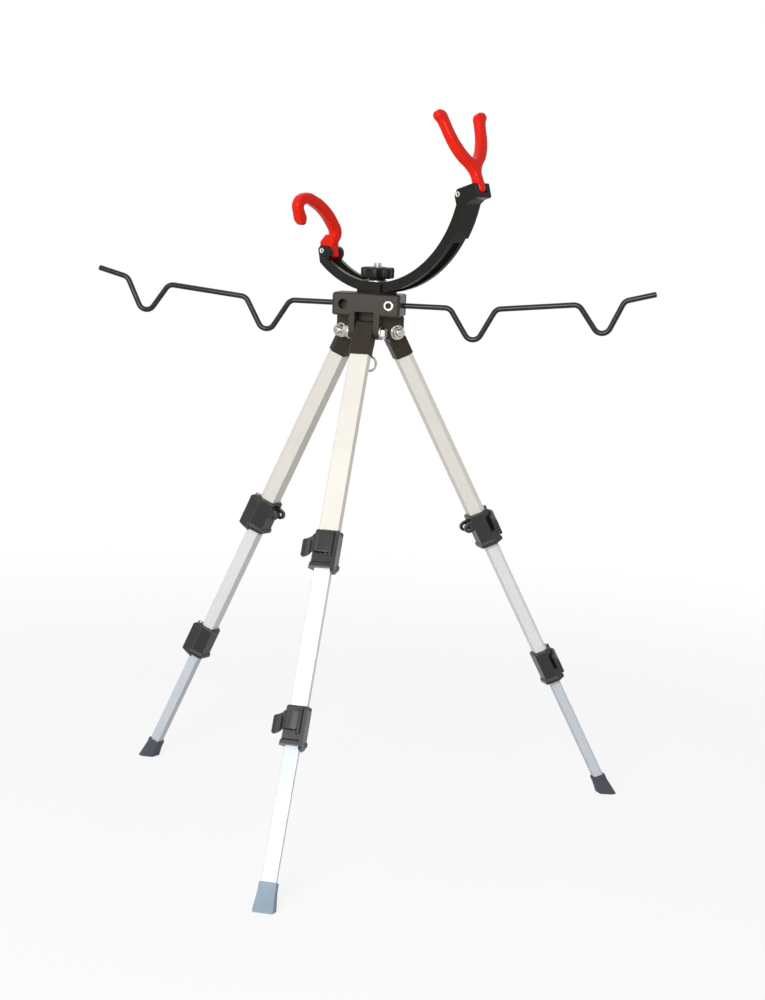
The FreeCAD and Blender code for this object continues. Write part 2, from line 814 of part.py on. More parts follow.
def make_tube(leg, index):
    offset = -index * tube_step
    if index == 0:
        top = -tube_top
    else:
        top = -lock_level(index - 1) + tube_overlap
    if index == 2:
        bottom = -(upper_reach + middle_reach + lower_reach) + foot_height - foot_socket
    else:
        bottom = -lock_level(index) - lever_below - window_margin
    bar = section_bar(offset, bottom, top)
    bore = section_bar(offset - tube_wall, bottom - overrun, top + overrun)
    tube = bar.cut(bore)
    if index < 2:
        tube = tube.cut(lock_window(index, window_right(index)))
    return place_leg(tube, leg)


def window_right(index):
    # The opening in the tube ends at the inner side of its corner.
    return tube_face / 2 - index * tube_step - tube_wall


def pin_spot(index):
    # Place of the lever pin in the leg frame.
    offset = -index * tube_step
    face = tube_depth / 2 + offset + lock_wall
    return V(face + barrel_radius - cam_gap, pin_place + offset, 0)


def cam_reach(index):
    inner_face = tube_depth / 2 - (index + 1) * tube_step
    return pin_spot(index).x - inner_face - cam_gap


def lock_window(index, right):
    # Opening in the outer face where the cam reaches the inner tube.
    level = -lock_level(index)
    pin = pin_spot(index)
    back = tube_depth / 2 - (index + 1) * tube_step + tube_play / 2
    left = pin.y - cam_reach(index) - window_margin
    return box(back, pin.x + lock_wall, left, right, level - lever_below - window_margin,
               level + lever_above + window_margin)


def make_lock(leg, index):
    # Collar on the tube end with a flange that carries the lever pin.
    offset = -index * tube_step
    level = -lock_level(index)
    bottom = level - lock_below
    top = level + lock_above
    collar = section_bar(offset + lock_wall, bottom, top)
    rim = [edge for edge in collar.Edges if edge.BoundBox.ZMin > top - tube_play]
    collar = collar.makeChamfer(lock_chamfer, rim)
    lip = section_bar(offset + lock_wall + lock_lip_out, bottom, bottom + lock_lip)
    rim = [edge for edge in lip.Edges if edge.BoundBox.ZMin > bottom + lock_lip - tube_play]
    lip = lip.makeChamfer(lock_lip_out, rim)
    pin = pin_spot(index)
    face = tube_depth / 2 + offset + lock_wall
    side = tube_width / 2 + offset + lock_wall
    flange = box(flange_root + offset, face + flange_front, side - flange_thickness, side,
                 level - flange_below, level + flange_above)
    crown = [edge for edge in flange.Edges if edge.BoundBox.ZMin > level + flange_above - tube_play
             and (edge.BoundBox.YMin > side - tube_play or edge.BoundBox.XMin > face)]
    flange = flange.makeChamfer(flange_corner, crown)
    heel = [edge for edge in flange.Edges
            if edge.BoundBox.ZMax < level - flange_below + tube_play
            and (edge.BoundBox.YMin > side - tube_play or edge.BoundBox.XMin > face)]
    flange = flange.makeChamfer(flange_chamfer, heel)
    pieces = [lip, flange]
    ear_levels = ((level + lever_above + lever_side_gap, level + lever_above + pin_ear),
                  (level - lever_below - pin_ear, level - lever_below - lever_side_gap))
    for low, high in ear_levels:
        pieces.append(box(face - lock_wall / 2, pin.x, pin.y - barrel_radius,
                          side - flange_thickness / 2, low, high))
        pieces.append(pin_rod(barrel_radius, V(pin.x, pin.y, low), V(pin.x, pin.y, high)))
    if index == 0:
        pieces += make_lugs(level, -tube_depth / 2 + offset - lock_wall)
    body = collar.fuse(pieces)
    cuts = [section_bar(offset + tube_play / 4, level - lever_below - window_margin, top + overrun)]
    cuts.append(section_bar(offset - tube_step + tube_play, bottom - overrun,
                             level - lever_below))
    cuts.append(lock_window(index, side - flange_thickness))
    cuts.append(pin_hole(pin_diameter / 2 + pin_clearance,
                         V(pin.x, pin.y, level - lever_below - pin_ear - overrun),
                         V(pin.x, pin.y, level + lever_above + pin_ear + overrun)))
    if index == 0:
        lug_x = -tube_depth / 2 + offset - lock_wall - lug_reach + lug_round
        cuts.append(rod(lug_hole / 2, V(lug_x, -lug_spread, level + lug_place),
                        V(lug_x, lug_spread, level + lug_place)))
    return place_leg(body.cut(cuts).removeSplitter(), leg)


def make_lugs(level, face):
    # Two drilled ears on the inner side of the upper lock.
    lugs = []
    centre = face - lug_reach + lug_round
    for side in (-1, 1):
        outer = side * lug_spread / 2
        inner = side * (lug_spread / 2 - lug_thickness)
        low = min(outer, inner)
        high = max(outer, inner)
        plate = box(centre, face + lock_wall, low, high, level + lug_place - lug_round,
                    level + lug_place + lug_round)
        nose = pin_rod(lug_round, V(centre, low, level + lug_place),
                       V(centre, high, level + lug_place))
        lugs += [plate, nose]
    return lugs


def make_lock_pin(leg, index):
    level = -lock_level(index)
    pin = pin_spot(index)
    return place_leg(pin_rod(pin_diameter / 2, V(pin.x, pin.y, level - lever_below - pin_ear),
                             V(pin.x, pin.y, level + lever_above + pin_ear)), leg)


def lever_profile(index):
    # Top view of the lever plate from the pin to the tip of the wing.
    offset = -index * tube_step
    face = tube_depth / 2 + offset + lock_wall
    corner = tube_face / 2 + offset + lock_wall
    side = tube_width / 2 + offset + lock_wall
    pin = pin_spot(index)
    near = lever_thickness + lever_gap
    outer = [V(pin.x + barrel_radius / 2, pin.y + barrel_radius / 2, 0),
             V(face + lever_stand, 0, 0),
             V(face + near, -corner, 0),
             V(face, -side - lever_gap, 0),
             V(face + lever_gap, -side - wing_reach, 0)]
    inner = [V(p.x - lever_thickness, p.y, 0) for p in outer]
    sides = []
    for points in (outer, inner):
        curve = Part.BSplineCurve()
        curve.interpolate(points)
        sides.append(curve.toShape().discretize(lever_chords + 1))
    return sides[0] + list(reversed(sides[1]))


def lever_mask(index, low, high):
    # Front view of the lever: straight band and a swept wing.
    side = tube_width / 2 - index * tube_step + lock_wall
    end = -side - wing_reach
    start = -side + lever_thickness
    nick = lever_thickness / 2
    depth = 2 * tube_width
    outline = [V(0, side, low), V(0, side, high), V(0, start, high),
               V(0, end + nick, high - wing_slope + nick), V(0, end, high - wing_slope),
               V(0, end, low - wing_drop + nick), V(0, end + nick, low - wing_drop),
               V(0, end + wing_reach / 2, low - wing_drop + nick), V(0, start, low)]
    return prism(outline, V(depth, 0, 0))


def make_lever(leg, index):
    # Flip lever: barrel and cam on the pin, a plate round the collar, a wing to pull.
    level = -lock_level(index)
    pin = pin_spot(index)
    low = level - lever_below
    high = level + lever_above
    plate = prism(lever_profile(index), V(0, 0, high - low + wing_drop))
    plate.translate(V(0, 0, low - wing_drop))
    plate = plate.common(lever_mask(index, low, high))
    barrel = pin_rod(barrel_radius, V(pin.x, pin.y, low), V(pin.x, pin.y, high))
    shift = barrel_radius / 2
    cam = pin_rod(cam_reach(index) - shift, V(pin.x - shift, pin.y - cam_turn, low),
                  V(pin.x - shift, pin.y - cam_turn, high))
    trim = box(pin.x - 2 * cam_reach(index), pin.x, pin.y - 2 * cam_reach(index),
               window_right(index) - window_margin, low, high)
    hole = pin_hole(pin_diameter / 2 + pin_clearance, V(pin.x, pin.y, low - overrun),
                    V(pin.x, pin.y, high + overrun))
    return place_leg(plate.fuse([barrel, cam.common(trim)]).cut(hole).removeSplitter(), leg)


def make_foot(leg):
    # Rubber tip that flares to a sole cut level with the ground.
    length = upper_reach + middle_reach + lower_reach
    offset = -2 * tube_step
    top = -length + foot_height
    waist = top - foot_height / 3
    grip = section_bar(offset + foot_wall, waist, top)
    neck = section_points(offset + foot_wall, waist)
    sole = section_points(offset + foot_wall + foot_flare, -length - foot_height / 2)
    faces = [Part.Face(Part.makePolygon(ring + [ring[0]])) for ring in (neck, sole)]
    for index, corner in enumerate(neck):
        after = (index + 1) % len(neck)
        outline = [corner, neck[after], sole[after], sole[index], corner]
        faces.append(Part.Face(Part.makePolygon(outline)))
    skirt = Part.makeSolid(Part.makeShell(faces))
    if skirt.Volume < 0:
        skirt.reverse()
    body = grip.fuse(skirt).removeSplitter()
    socket_bottom = -length + foot_height - foot_socket
    socket = section_bar(offset + tube_play / 4, socket_bottom, top + overrun)
    body = place_leg(body.cut(socket), leg)
    span = 2 * length
    ground = box(-span, span, -span, span, 0, pivot_height)
    return body.common(ground).removeSplitter()


def circle_places(centre, radius, across, chords):
    circle = Part.makeCircle(radius, centre, across)
    return circle.discretize(chords + 1)[:-1]


def make_eye():
    # Screw eye under the middle of the head.
    bottom = pivot_height - ear_round
    centre = V(0, 0, bottom - eye_drop)
    across = V(1, 0, 0)
    places = circle_places(centre, eye_diameter / 2, across, eye_chords)
    loop = sweep(places, across, eye_wire / 2, eye_sides, True)
    shank = pin_rod(eye_shank / 2, centre.add(V(0, 0, eye_diameter / 2)),
                    V(0, 0, pivot_height - overrun))
    return loop.fuse(shank)


def make_ring():
    bottom = pivot_height - ear_round - eye_drop
    inner_top = bottom - eye_diameter / 2 + eye_wire / 2
    radius = (ring_diameter - ring_wire) / 2
    centre = V(0, 0, inner_top + ring_wire / 2 + hinge_play - radius)
    across = V(0, 1, 0)
    places = circle_places(centre, radius, across, ring_chords)
    return sweep(places, across, ring_wire / 2, ring_sides, True)


def build_parts():
    parts = {"head_block": make_head_block(), "clamp_screw": make_clamp_screw()}
    parts["left_rod_rest"] = make_wire(-1)
    parts["right_rod_rest"] = make_wire(1)
    parts["cradle_saddle"] = make_saddle()
    parts["cradle_arc"] = make_cradle_arc()
    parts["swivel_stud"] = make_stud()
    parts["swivel_washer"] = make_swivel_washer()
    parts["swivel_knob"] = make_knob()
    parts["hook_rivet"] = make_rivet(arc_point(arc_radius - rivet_inset, -left_rivet_angle))
    parts["fork_rivet"] = make_rivet(housing_point(0, 0))
    parts["butt_hook"] = make_hook()
    parts["rod_fork"] = make_fork()
    parts["screw_eye"] = make_eye()
    parts["hanging_ring"] = make_ring()
    head_sides = {"front": 1, "right": 1, "left": -1}
    for leg in leg_azimuths:
        parts[leg + "_leg_cap"] = make_cap(leg)
        parts[leg + "_hinge_bolt"] = make_hinge_bolt(leg, head_sides[leg])
        for index, name in enumerate(tube_names):
            parts[leg + "_" + name + "_tube"] = make_tube(leg, index)
        for index, name in enumerate(("upper", "lower")):
            parts[leg + "_" + name + "_lock"] = make_lock(leg, index)
            parts[leg + "_" + name + "_lock_pin"] = make_lock_pin(leg, index)
            parts[leg + "_" + name + "_lever"] = make_lever(leg, index)
        parts[leg + "_foot"] = make_foot(leg)
    return parts


os.makedirs("parts", exist_ok=True)
nodes = build_parts()
whole = Part.makeCompound(list(nodes.values())).optimalBoundingBox(False, False)
centre = V((whole.XMin + whole.XMax) / 2, (whole.YMin + whole.YMax) / 2, whole.ZMin)
for node, shape in nodes.items():
    shape.translate(centre * -1)
    shape.exportStep("parts/" + node + ".step")
print("moved by", centre * -1)
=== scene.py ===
import bpy
import math
from mathutils import Matrix, Vector


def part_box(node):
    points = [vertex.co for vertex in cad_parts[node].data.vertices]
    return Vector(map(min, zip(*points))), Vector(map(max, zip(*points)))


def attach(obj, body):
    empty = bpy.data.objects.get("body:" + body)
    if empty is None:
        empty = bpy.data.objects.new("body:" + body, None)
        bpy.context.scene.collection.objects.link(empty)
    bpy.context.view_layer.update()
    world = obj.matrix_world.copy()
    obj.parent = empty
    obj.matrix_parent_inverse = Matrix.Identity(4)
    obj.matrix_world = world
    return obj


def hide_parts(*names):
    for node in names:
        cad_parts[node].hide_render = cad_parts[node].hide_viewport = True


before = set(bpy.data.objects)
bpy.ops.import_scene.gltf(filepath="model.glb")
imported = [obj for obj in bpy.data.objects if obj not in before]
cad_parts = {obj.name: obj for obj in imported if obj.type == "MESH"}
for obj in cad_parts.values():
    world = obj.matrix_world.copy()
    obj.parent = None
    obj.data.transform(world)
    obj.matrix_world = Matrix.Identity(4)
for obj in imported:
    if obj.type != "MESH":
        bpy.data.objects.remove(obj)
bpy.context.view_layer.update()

# Where the parts sit: the head's upright axis, the leg hinges and the swivel,
# all taken from the frame. Lengths are in metres.
mm = 0.001
eye_low, eye_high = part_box("screw_eye")
head_axis = Vector(((eye_low.x + eye_high.x) / 2, (eye_low.y + eye_high.y) / 2, 0))
bolt_low, bolt_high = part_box("right_hinge_bolt")
pivot_height = (bolt_low.z + bolt_high.z) / 2
block_low, block_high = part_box("head_block")
block_top = block_high.z


# Studio: a pale floor that fades into a white surround, and four large soft
# lamps. The camera looks slightly down from a little to the right of the front leg.
floor_shade = (0.95, 0.95, 0.95)
floor_patch = (0.97, 0.97, 0.97)
floor_dim = (0.50, 0.50, 0.50)
floor_size = 8
floor_gap = 0.1 * mm
floor_fade_start = 0.55
floor_fade_end = 1.5
floor_lift = 0.84
surround_shade = (0.92, 0.95, 1.0)
surround_light = 0.27
camera_turn = 11.29
camera_rise = 9.13
camera_roll = 2.23
camera_distance = 1.8061
camera_aside = 0.01735
camera_up = -0.00568
camera_lens = 70.61
camera_sensor = 36
camera_target = Vector((0, head_axis.y, 0.30655))


def add_node(nodes, kind, values=None, **settings):
    # A shader node with its settings, and the values of inputs that aren't linked.
    node = nodes.new(kind)
    for setting, value in settings.items():
        setattr(node, setting, value)
    for socket, value in (values or {}).items():
        node.inputs[socket].default_value = value
    return node


def wire(links, *runs):
    # Each run goes from a node and its output to a node and its input.
    for source, output, target, entry in runs:
        links.new(source.outputs[output], target.inputs[entry])


def add_mix(nodes, **colours):
    values = {socket: (*colour, 1) for socket, colour in colours.items()}
    return add_node(nodes, "ShaderNodeMix", values, data_type="RGBA")


def start_material(name, values):
    # A new material, with the values that stay the same all over its surface.
    material = bpy.data.materials.new(name)
    material.use_nodes = True
    tree = material.node_tree
    shader = tree.nodes["Principled BSDF"]
    for socket, value in values.items():
        shader.inputs[socket].default_value = value
    return material, tree.nodes, tree.links, shader


def add_seen_mask(nodes, links):
    # One where a surface is seen, mirrored or looked through, and otherwise nought.
    path = add_node(nodes, "ShaderNodeLightPath")
    seen = add_node(nodes, "ShaderNodeMath", operation="MAXIMUM")
    shown = add_node(nodes, "ShaderNodeMath", operation="MAXIMUM")
    wire(links,
         (path, "Is Camera Ray", seen, 0),
         (path, "Is Glossy Ray", seen, 1),
         (seen, "Value", shown, 0),
         (path, "Is Transmission Ray", shown, 1))
    return shown


def make_floor():
    # Lifted to white where it is seen, dimmer as a light, and clear far from the part.
    bpy.ops.object.select_all(action="DESELECT")
    bpy.ops.mesh.primitive_plane_add(size=floor_size, location=(0, 0, -floor_gap))
    floor = bpy.context.object
    bpy.ops.object.transform_apply(location=True)
    floor.name = "studio_floor"
    material, nodes, links, shader = start_material(
        "studio_floor", {"Roughness": 0.9, "Specular IOR Level": 0.1})
    place = add_node(nodes, "ShaderNodeTexCoord")
    noise = add_node(nodes, "ShaderNodeTexNoise", {"Scale": 3})
    shades = add_mix(nodes, A=floor_shade, B=floor_patch)
    shown = add_seen_mask(nodes, links)
    bounced = add_mix(nodes, A=floor_dim)
    lifted = add_node(nodes, "ShaderNodeMath", operation="MULTIPLY", values={1: floor_lift})
    white = add_node(nodes, "ShaderNodeEmission")
    pale = add_node(nodes, "ShaderNodeMixShader")
    radius = add_node(nodes, "ShaderNodeVectorMath", operation="LENGTH")
    fade = add_node(nodes, "ShaderNodeMapRange", interpolation_type="SMOOTHSTEP",
                    values={"From Min": floor_fade_start, "From Max": floor_fade_end})
    clear = add_node(nodes, "ShaderNodeBsdfTransparent")
    faded = add_node(nodes, "ShaderNodeMixShader")
    wire(links,
         (place, "Object", noise, "Vector"),
         (noise, "Fac", shades, "Factor"),
         (shown, "Value", bounced, "Factor"),
         (shades, "Result", bounced, "B"),
         (bounced, "Result", shader, "Base Color"),
         (shown, "Value", lifted, 0),
         (lifted, "Value", pale, "Fac"),
         (shader, "BSDF", pale, 1),
         (white, "Emission", pale, 2),
         (place, "Object", radius, 0),
         (radius, "Value", fade, "Value"),
         (fade, "Result", faded, "Fac"),
         (pale, "Shader", faded, 1),
         (clear, "BSDF", faded, 2),
         (faded, "Shader", nodes["Material Output"], "Surface"))
    floor.data.materials.append(material)


def make_surround():
    # White where it is seen, mirrored or looked through, and softer as a light.
    world = bpy.data.worlds.new("studio_surround")
    bpy.context.scene.world = world
    world.use_nodes = True
    nodes = world.node_tree.nodes
    links = world.node_tree.links
    nodes.clear()
    shown = add_seen_mask(nodes, links)
    white = add_node(nodes, "ShaderNodeBackground", {"Color": (1, 1, 1, 1), "Strength": 1})
    soft = add_node(nodes, "ShaderNodeBackground",
                    {"Color": (*surround_shade, 1), "Strength": surround_light})
    mix = add_node(nodes, "ShaderNodeMixShader")
    output = add_node(nodes, "ShaderNodeOutputWorld")
    wire(links,
         (shown, "Value", mix, "Fac"),
         (soft, "Background", mix, 1),
         (white, "Background", mix, 2),
         (mix, "Shader", output, "Surface"))


def make_lamp(name, place, size, power):
    bpy.ops.object.select_all(action="DESELECT")
    bpy.ops.object.light_add(type="AREA", location=place)
    lamp = bpy.context.object
    lamp.name = name
    lamp.data.shape = "RECTANGLE"
    lamp.data.size = size
    lamp.data.size_y = size
    lamp.data.energy = power
    aim = camera_target - Vector(place)
    lamp.rotation_euler = aim.to_track_quat("-Z", "Y").to_euler()


def make_camera():
    turn = math.radians(camera_turn)
    rise = math.radians(camera_rise)
    roll = math.radians(camera_roll)
    back = Vector((math.sin(turn) * math.cos(rise), -math.cos(turn) * math.cos(rise), math.sin(rise)))
    right = Vector((math.cos(turn), math.sin(turn), 0))
    up = back.cross(right)
    across = right * math.cos(roll) + up * math.sin(roll)
    upwards = up * math.cos(roll) - right * math.sin(roll)
    place = camera_target + back * camera_distance + across * camera_aside + upwards * camera_up
    data = bpy.data.cameras.new("camera")
    camera = bpy.data.objects.new("camera", data)
    bpy.context.scene.collection.objects.link(camera)
    data.sensor_fit = "VERTICAL"
    data.sensor_height = camera_sensor
    data.lens = camera_lens
    data.clip_start = 0.05
    data.clip_end = 100
    axes = Matrix((across, upwards, back)).transposed().to_4x4()
    camera.matrix_world = Matrix.Translation(place) @ axes
    bpy.context.scene.camera = camera


make_floor()
make_surround()
make_lamp("lamp_front", (-0.2, -2.3, 1.1), size=1.1, power=46)
make_lamp("lamp_left", (-1.9, -1.5, 1.7), size=1.3, power=8)
make_lamp("lamp_right", (1.6, -2.0, 1.6), size=1.6, power=4)
make_lamp("lamp_behind", (0.3, 2.0, 2.4), size=1.6, power=10)
make_camera()
bpy.context.scene.view_settings.view_transform = "Standard"


# Head block: black nylon moulding with three clevises under it. Its flats have
# a fine spark finish; the paler corners are partly handling wear, partly painted highlight.
moulded_black = (0.030, 0.026, 0.018)
moulded_edge_wear_and_highlight = (0.115, 0.105, 0.085)
head_corner = 0.9 * mm
block_height = 20.2 * mm
corner_steps = 2
corner_turn = 30
weld_reach = 0.002 * mm
flat_turn = 0.5


def add_group(name, inputs, outputs):
    group = bpy.data.node_groups.new(name, "ShaderNodeTree")
    for kind, label, value in inputs:
        made = group.interface.new_socket(label, in_out="INPUT", socket_type=kind)
        made.default_value = value
    for kind, label in outputs:
        group.interface.new_socket(label, in_out="OUTPUT", socket_type=kind)
    entry = group.nodes.new("NodeGroupInput")
    leaving = group.nodes.new("NodeGroupOutput")
    return group, entry, leaving


def make_worn_highlit_edges():
    # A mask that is white where a corner turns within the radius, for paler edges that are partly wear and
    # partly a painted highlight, and the eased normal.
    group, entry, leaving = add_group(
        "worn_highlit_edges",
        [("NodeSocketFloat", "Radius", 0.4 * mm), ("NodeSocketFloat", "Patchiness", 0.5)],
        [("NodeSocketFloat", "Worn Highlit Edge"), ("NodeSocketVector", "Normal")])
    nodes = group.nodes
    bevel = add_node(nodes, "ShaderNodeBevel", samples=6)
    flat = add_node(nodes, "ShaderNodeNewGeometry")
    dot = add_node(nodes, "ShaderNodeVectorMath", operation="DOT_PRODUCT")
    away = add_node(nodes, "ShaderNodeMapRange", {"From Min": 0.995, "From Max": 0.80})
    place = add_node(nodes, "ShaderNodeTexCoord")
    noise = add_node(nodes, "ShaderNodeTexNoise", {"Scale": 420, "Detail": 4})
    patches = add_node(nodes, "ShaderNodeMapRange", {"From Min": 0.35, "From Max": 0.65, "To Max": 1})
    lowest = add_node(nodes, "ShaderNodeMath", operation="SUBTRACT", values={0: 1})
    worn_highlit = add_node(nodes, "ShaderNodeMath", operation="MULTIPLY")
    wire(group.links,
         (entry, "Radius", bevel, "Radius"),
         (bevel, "Normal", dot, 0),
         (flat, "Normal", dot, 1),
         (dot, "Value", away, "Value"),
         (place, "Object", noise, "Vector"),
         (noise, "Fac", patches, "Value"),
         (entry, "Patchiness", lowest, 1),
         (lowest, "Value", patches, "To Min"),
         (away, "Result", worn_highlit, 0),
         (patches, "Result", worn_highlit, 1),
         (worn_highlit, "Value", leaving, "Worn Highlit Edge"),
         (bevel, "Normal", leaving, "Normal"))
    return group


def make_mould_grain():
    # Spark finish of a moulding tool: a fine grain and broad, faint clouds.
    group, entry, leaving = add_group(
        "mould_grain",
        [("NodeSocketFloat", "Grain Scale", 2600), ("NodeSocketFloat", "Cloud Scale", 60)],
        [("NodeSocketFloat", "Grain"), ("NodeSocketFloat", "Cloud")])
    nodes = group.nodes
    place = add_node(nodes, "ShaderNodeTexCoord")
    grain = add_node(nodes, "ShaderNodeTexNoise", {"Detail": 2})
    cloud = add_node(nodes, "ShaderNodeTexNoise", {"Detail": 5, "Roughness": 0.6})
    wire(group.links,
         (place, "Object", grain, "Vector"),
         (place, "Object", cloud, "Vector"),
         (entry, "Grain Scale", grain, "Scale"),
         (entry, "Cloud Scale", cloud, "Scale"),
         (grain, "Fac", leaving, "Grain"),
         (cloud, "Fac", leaving, "Cloud"))
    return group


worn_highlit_edges = make_worn_highlit_edges()
mould_grain = make_mould_grain()


def add_surface(nodes, links, shader, shine, relief, lowest, highest, depth, strength, eased=None):
    # Roughness between two values over one texture, and bumps from another.
    rough = add_node(nodes, "ShaderNodeMapRange", {"To Min": lowest, "To Max": highest})
    bump = add_node(nodes, "ShaderNodeBump", {"Distance": depth, "Strength": strength})
    wire(links,
         (*shine, rough, "Value"),
         (rough, "Result", shader, "Roughness"),
         (*relief, bump, "Height"),
         (bump, "Normal", shader, "Normal"))
    if eased is not None:
        wire(links, (eased, "Normal", bump, "Normal"))


def moulded_material(name, colour, edge_wear_and_highlight, roughness, edge_radius, grain_depth,
                     edge_patchiness=0.5, coat=0.0, cloud_share=0.25, gloss=0.38):
    # Moulded plastic: body colour with clouds, paler edges that are partly wear and partly a painted
    # highlight, and a grained, eased surface.
    material, nodes, links, shader = start_material(
        name, {"Specular IOR Level": gloss, "Coat Weight": coat, "Coat Roughness": 0.15})
    edges = add_node(nodes, "ShaderNodeGroup", node_tree=worn_highlit_edges,
                     values={"Radius": edge_radius, "Patchiness": edge_patchiness})
    grain = add_node(nodes, "ShaderNodeGroup", node_tree=mould_grain)
    paler = [channel * (1 + 2 * cloud_share) + 0.004 for channel in colour]
    clouded = add_mix(nodes, A=colour, B=paler)
    mixed = add_mix(nodes, B=edge_wear_and_highlight)
    wire(links,
         (grain, "Cloud", clouded, "Factor"),
         (clouded, "Result", mixed, "A"),
         (edges, "Worn Highlit Edge", mixed, "Factor"),
         (mixed, "Result", shader, "Base Color"))
    add_surface(nodes, links, shader, (grain, "Cloud"), (grain, "Grain"),
               roughness - 0.07, roughness + 0.09, grain_depth, 0.6, edges)
    return material


def paint(piece, material):
    piece.data.materials.clear()
    piece.data.materials.append(material)


def select_only(piece):
    bpy.ops.object.select_all(action="DESELECT")
    piece.select_set(True)
    bpy.context.view_layer.objects.active = piece


def smooth(piece, angle):
    select_only(piece)
    bpy.ops.object.shade_smooth_by_angle(angle=math.radians(angle))


def ease(piece, width):
    # Rounds the corners sharper than corner_turn and keeps the flats flat.
    select_only(piece)
    bevel = piece.modifiers.new("corners", "BEVEL")
    bevel.width = width
    bevel.segments = corner_steps
    bevel.limit_method = "ANGLE"
    bevel.angle_limit = math.radians(corner_turn)
    bevel.use_clamp_overlap = True
    bpy.ops.object.modifier_apply(modifier=bevel.name)
    smooth(piece, 50)
    weighted = piece.modifiers.new("flats", "WEIGHTED_NORMAL")
    weighted.keep_sharp = True
    bpy.ops.object.modifier_apply(modifier=weighted.name)


def solid_copy(node, name):
    # The node's solid with its triangles joined back into flats.
    piece = bpy.data.objects.new(name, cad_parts[node].data.copy())
    bpy.context.scene.collection.objects.link(piece)
    select_only(piece)
    bpy.ops.object.mode_set(mode="EDIT")
    bpy.ops.mesh.select_all(action="SELECT")
    bpy.ops.mesh.customdata_custom_splitnormals_clear()
    bpy.ops.mesh.remove_doubles(threshold=weld_reach)
    bpy.ops.mesh.dissolve_limited(angle_limit=math.radians(flat_turn))
    bpy.ops.object.mode_set(mode="OBJECT")
    return piece


def eased_part(node, name, body, corner, material):
    piece = solid_copy(node, name)
    ease(piece, corner)
    paint(piece, material)
    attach(piece, body)
    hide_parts(node)
    return piece


head_black = moulded_material("head_black", moulded_black, moulded_edge_wear_and_highlight, roughness=0.38,
                              edge_radius=0.5 * mm, grain_depth=0.03 * mm, gloss=0.22)
eased_part("head_block", "head_moulding", "head", head_corner, head_black)


# Leg caps: black nylon ends pressed on the upper tubes, each with a rounded
# knuckle that the hinge bolt passes through.
cap_black = (0.021, 0.0155, 0.0085)
# The edge colour paints the caps' corners paler: partly wear, partly a painted highlight.
cap_edge_wear_and_highlight = (0.080, 0.070, 0.055)
cap_corner = 0.5 * mm
cap_moulding = moulded_material("cap_black", cap_black, cap_edge_wear_and_highlight, roughness=0.36,
                                edge_radius=0.5 * mm, grain_depth=0.03 * mm, gloss=0.22)
for leg in ("front", "right", "left"):
    eased_part(leg + "_leg_cap", leg + "_cap_moulding", leg + "_upper_leg", cap_corner, cap_moulding)


# Hinge bolts: zinc plated M6 hexagon bolts, each with two washers and a nut.
# One set is made on the Z axis and copied into the three clevises.
leg_turns = {"front": -93, "right": 33, "left": 153}
leg_radii = {"front": 16 * mm, "right": 21 * mm, "left": 21 * mm}
head_sides = {"front": 1, "right": 1, "left": -1}
zinc_shade = (0.56, 0.545, 0.50)
zinc_dark = (0.22, 0.205, 0.175)
# Near-black colour that paints shade into corners, gaps and the screw socket.
painted_shade_dark = (0.03, 0.028, 0.024)
thread_radius = 3.0 * mm
thread_root = 2.55 * mm
thread_pitch = 1.0 * mm
washer_radius = 6.7 * mm
washer_bore = 3.25 * mm
washer_height = 1.4 * mm
washer_edge = 0.25 * mm
nut_flats = 10.0 * mm
nut_height = 5.0 * mm
nut_turn = math.radians(30)
chamfer_share = 0.94
bolt_head_height = 4.0 * mm
bolt_end = 2.2 * mm
bolt_point = 0.4 * mm
thread_start = 0.5 * mm
shank_overlap = 0.5 * mm
bore_lead = 0.5 * mm
clevis_half = 14.1 * mm


def make_corner_shade():
    # A mask for painted shade: white where faces lie close together, such as under a washer.
    group, entry, leaving = add_group(
        "corner_shade", [("NodeSocketFloat", "Distance", 2 * mm)], [("NodeSocketFloat", "Painted Shade")])
    nodes = group.nodes
    near = add_node(nodes, "ShaderNodeAmbientOcclusion", samples=8)
    spread = add_node(nodes, "ShaderNodeMapRange", {"From Min": 0.62, "From Max": 0.12})
    wire(group.links,
         (entry, "Distance", near, "Distance"),
         (near, "AO", spread, "Value"),
         (spread, "Result", leaving, "Painted Shade"))
    return group


corner_shade = make_corner_shade()


def zinc_material(name, colour, dark, roughness, edge_radius):
    # Bright zinc plate: metal with faint cloudy passivation and painted shade, near black, in its corners
    # and gaps.
    material, nodes, links, shader = start_material(name, {"Metallic": 1})
    edges = add_node(nodes, "ShaderNodeGroup", node_tree=worn_highlit_edges, values={"Radius": edge_radius})
    grain = add_node(nodes, "ShaderNodeGroup", node_tree=mould_grain,
                     values={"Grain Scale": 900, "Cloud Scale": 260})
    wide = add_node(nodes, "ShaderNodeMapRange", {"From Min": 0.25, "From Max": 0.55})
    shades = add_mix(nodes, A=dark, B=colour)
    corner_shaded = add_node(nodes, "ShaderNodeGroup", node_tree=corner_shade)
    shade_darkened = add_mix(nodes, B=painted_shade_dark)
    wire(links,
         (grain, "Cloud", wide, "Value"),
         (wide, "Result", shades, "Factor"),
         (shades, "Result", shade_darkened, "A"),
         (corner_shaded, "Painted Shade", shade_darkened, "Factor"),
         (shade_darkened, "Result", shader, "Base Color"))
    add_surface(nodes, links, shader, (grain, "Cloud"), (grain, "Grain"),
               roughness + 0.12, roughness - 0.06, 0.03 * mm, 0.5, edges)
    return material


def open_edit(kind, **facts):
    # Adds a primitive with nothing else selected and stays in edit mode.
    bpy.ops.object.select_all(action="DESELECT")
    kind(enter_editmode=True, **facts)
    return bpy.context.object


def close_edit(piece, name):
    bpy.ops.mesh.select_all(action="SELECT")
    bpy.ops.mesh.remove_doubles(threshold=weld_reach)
    bpy.ops.mesh.normals_make_consistent(inside=False)
    bpy.ops.object.mode_set(mode="OBJECT")
    bpy.ops.object.transform_apply(location=True, rotation=True, scale=True)
    piece.name = name
    return piece


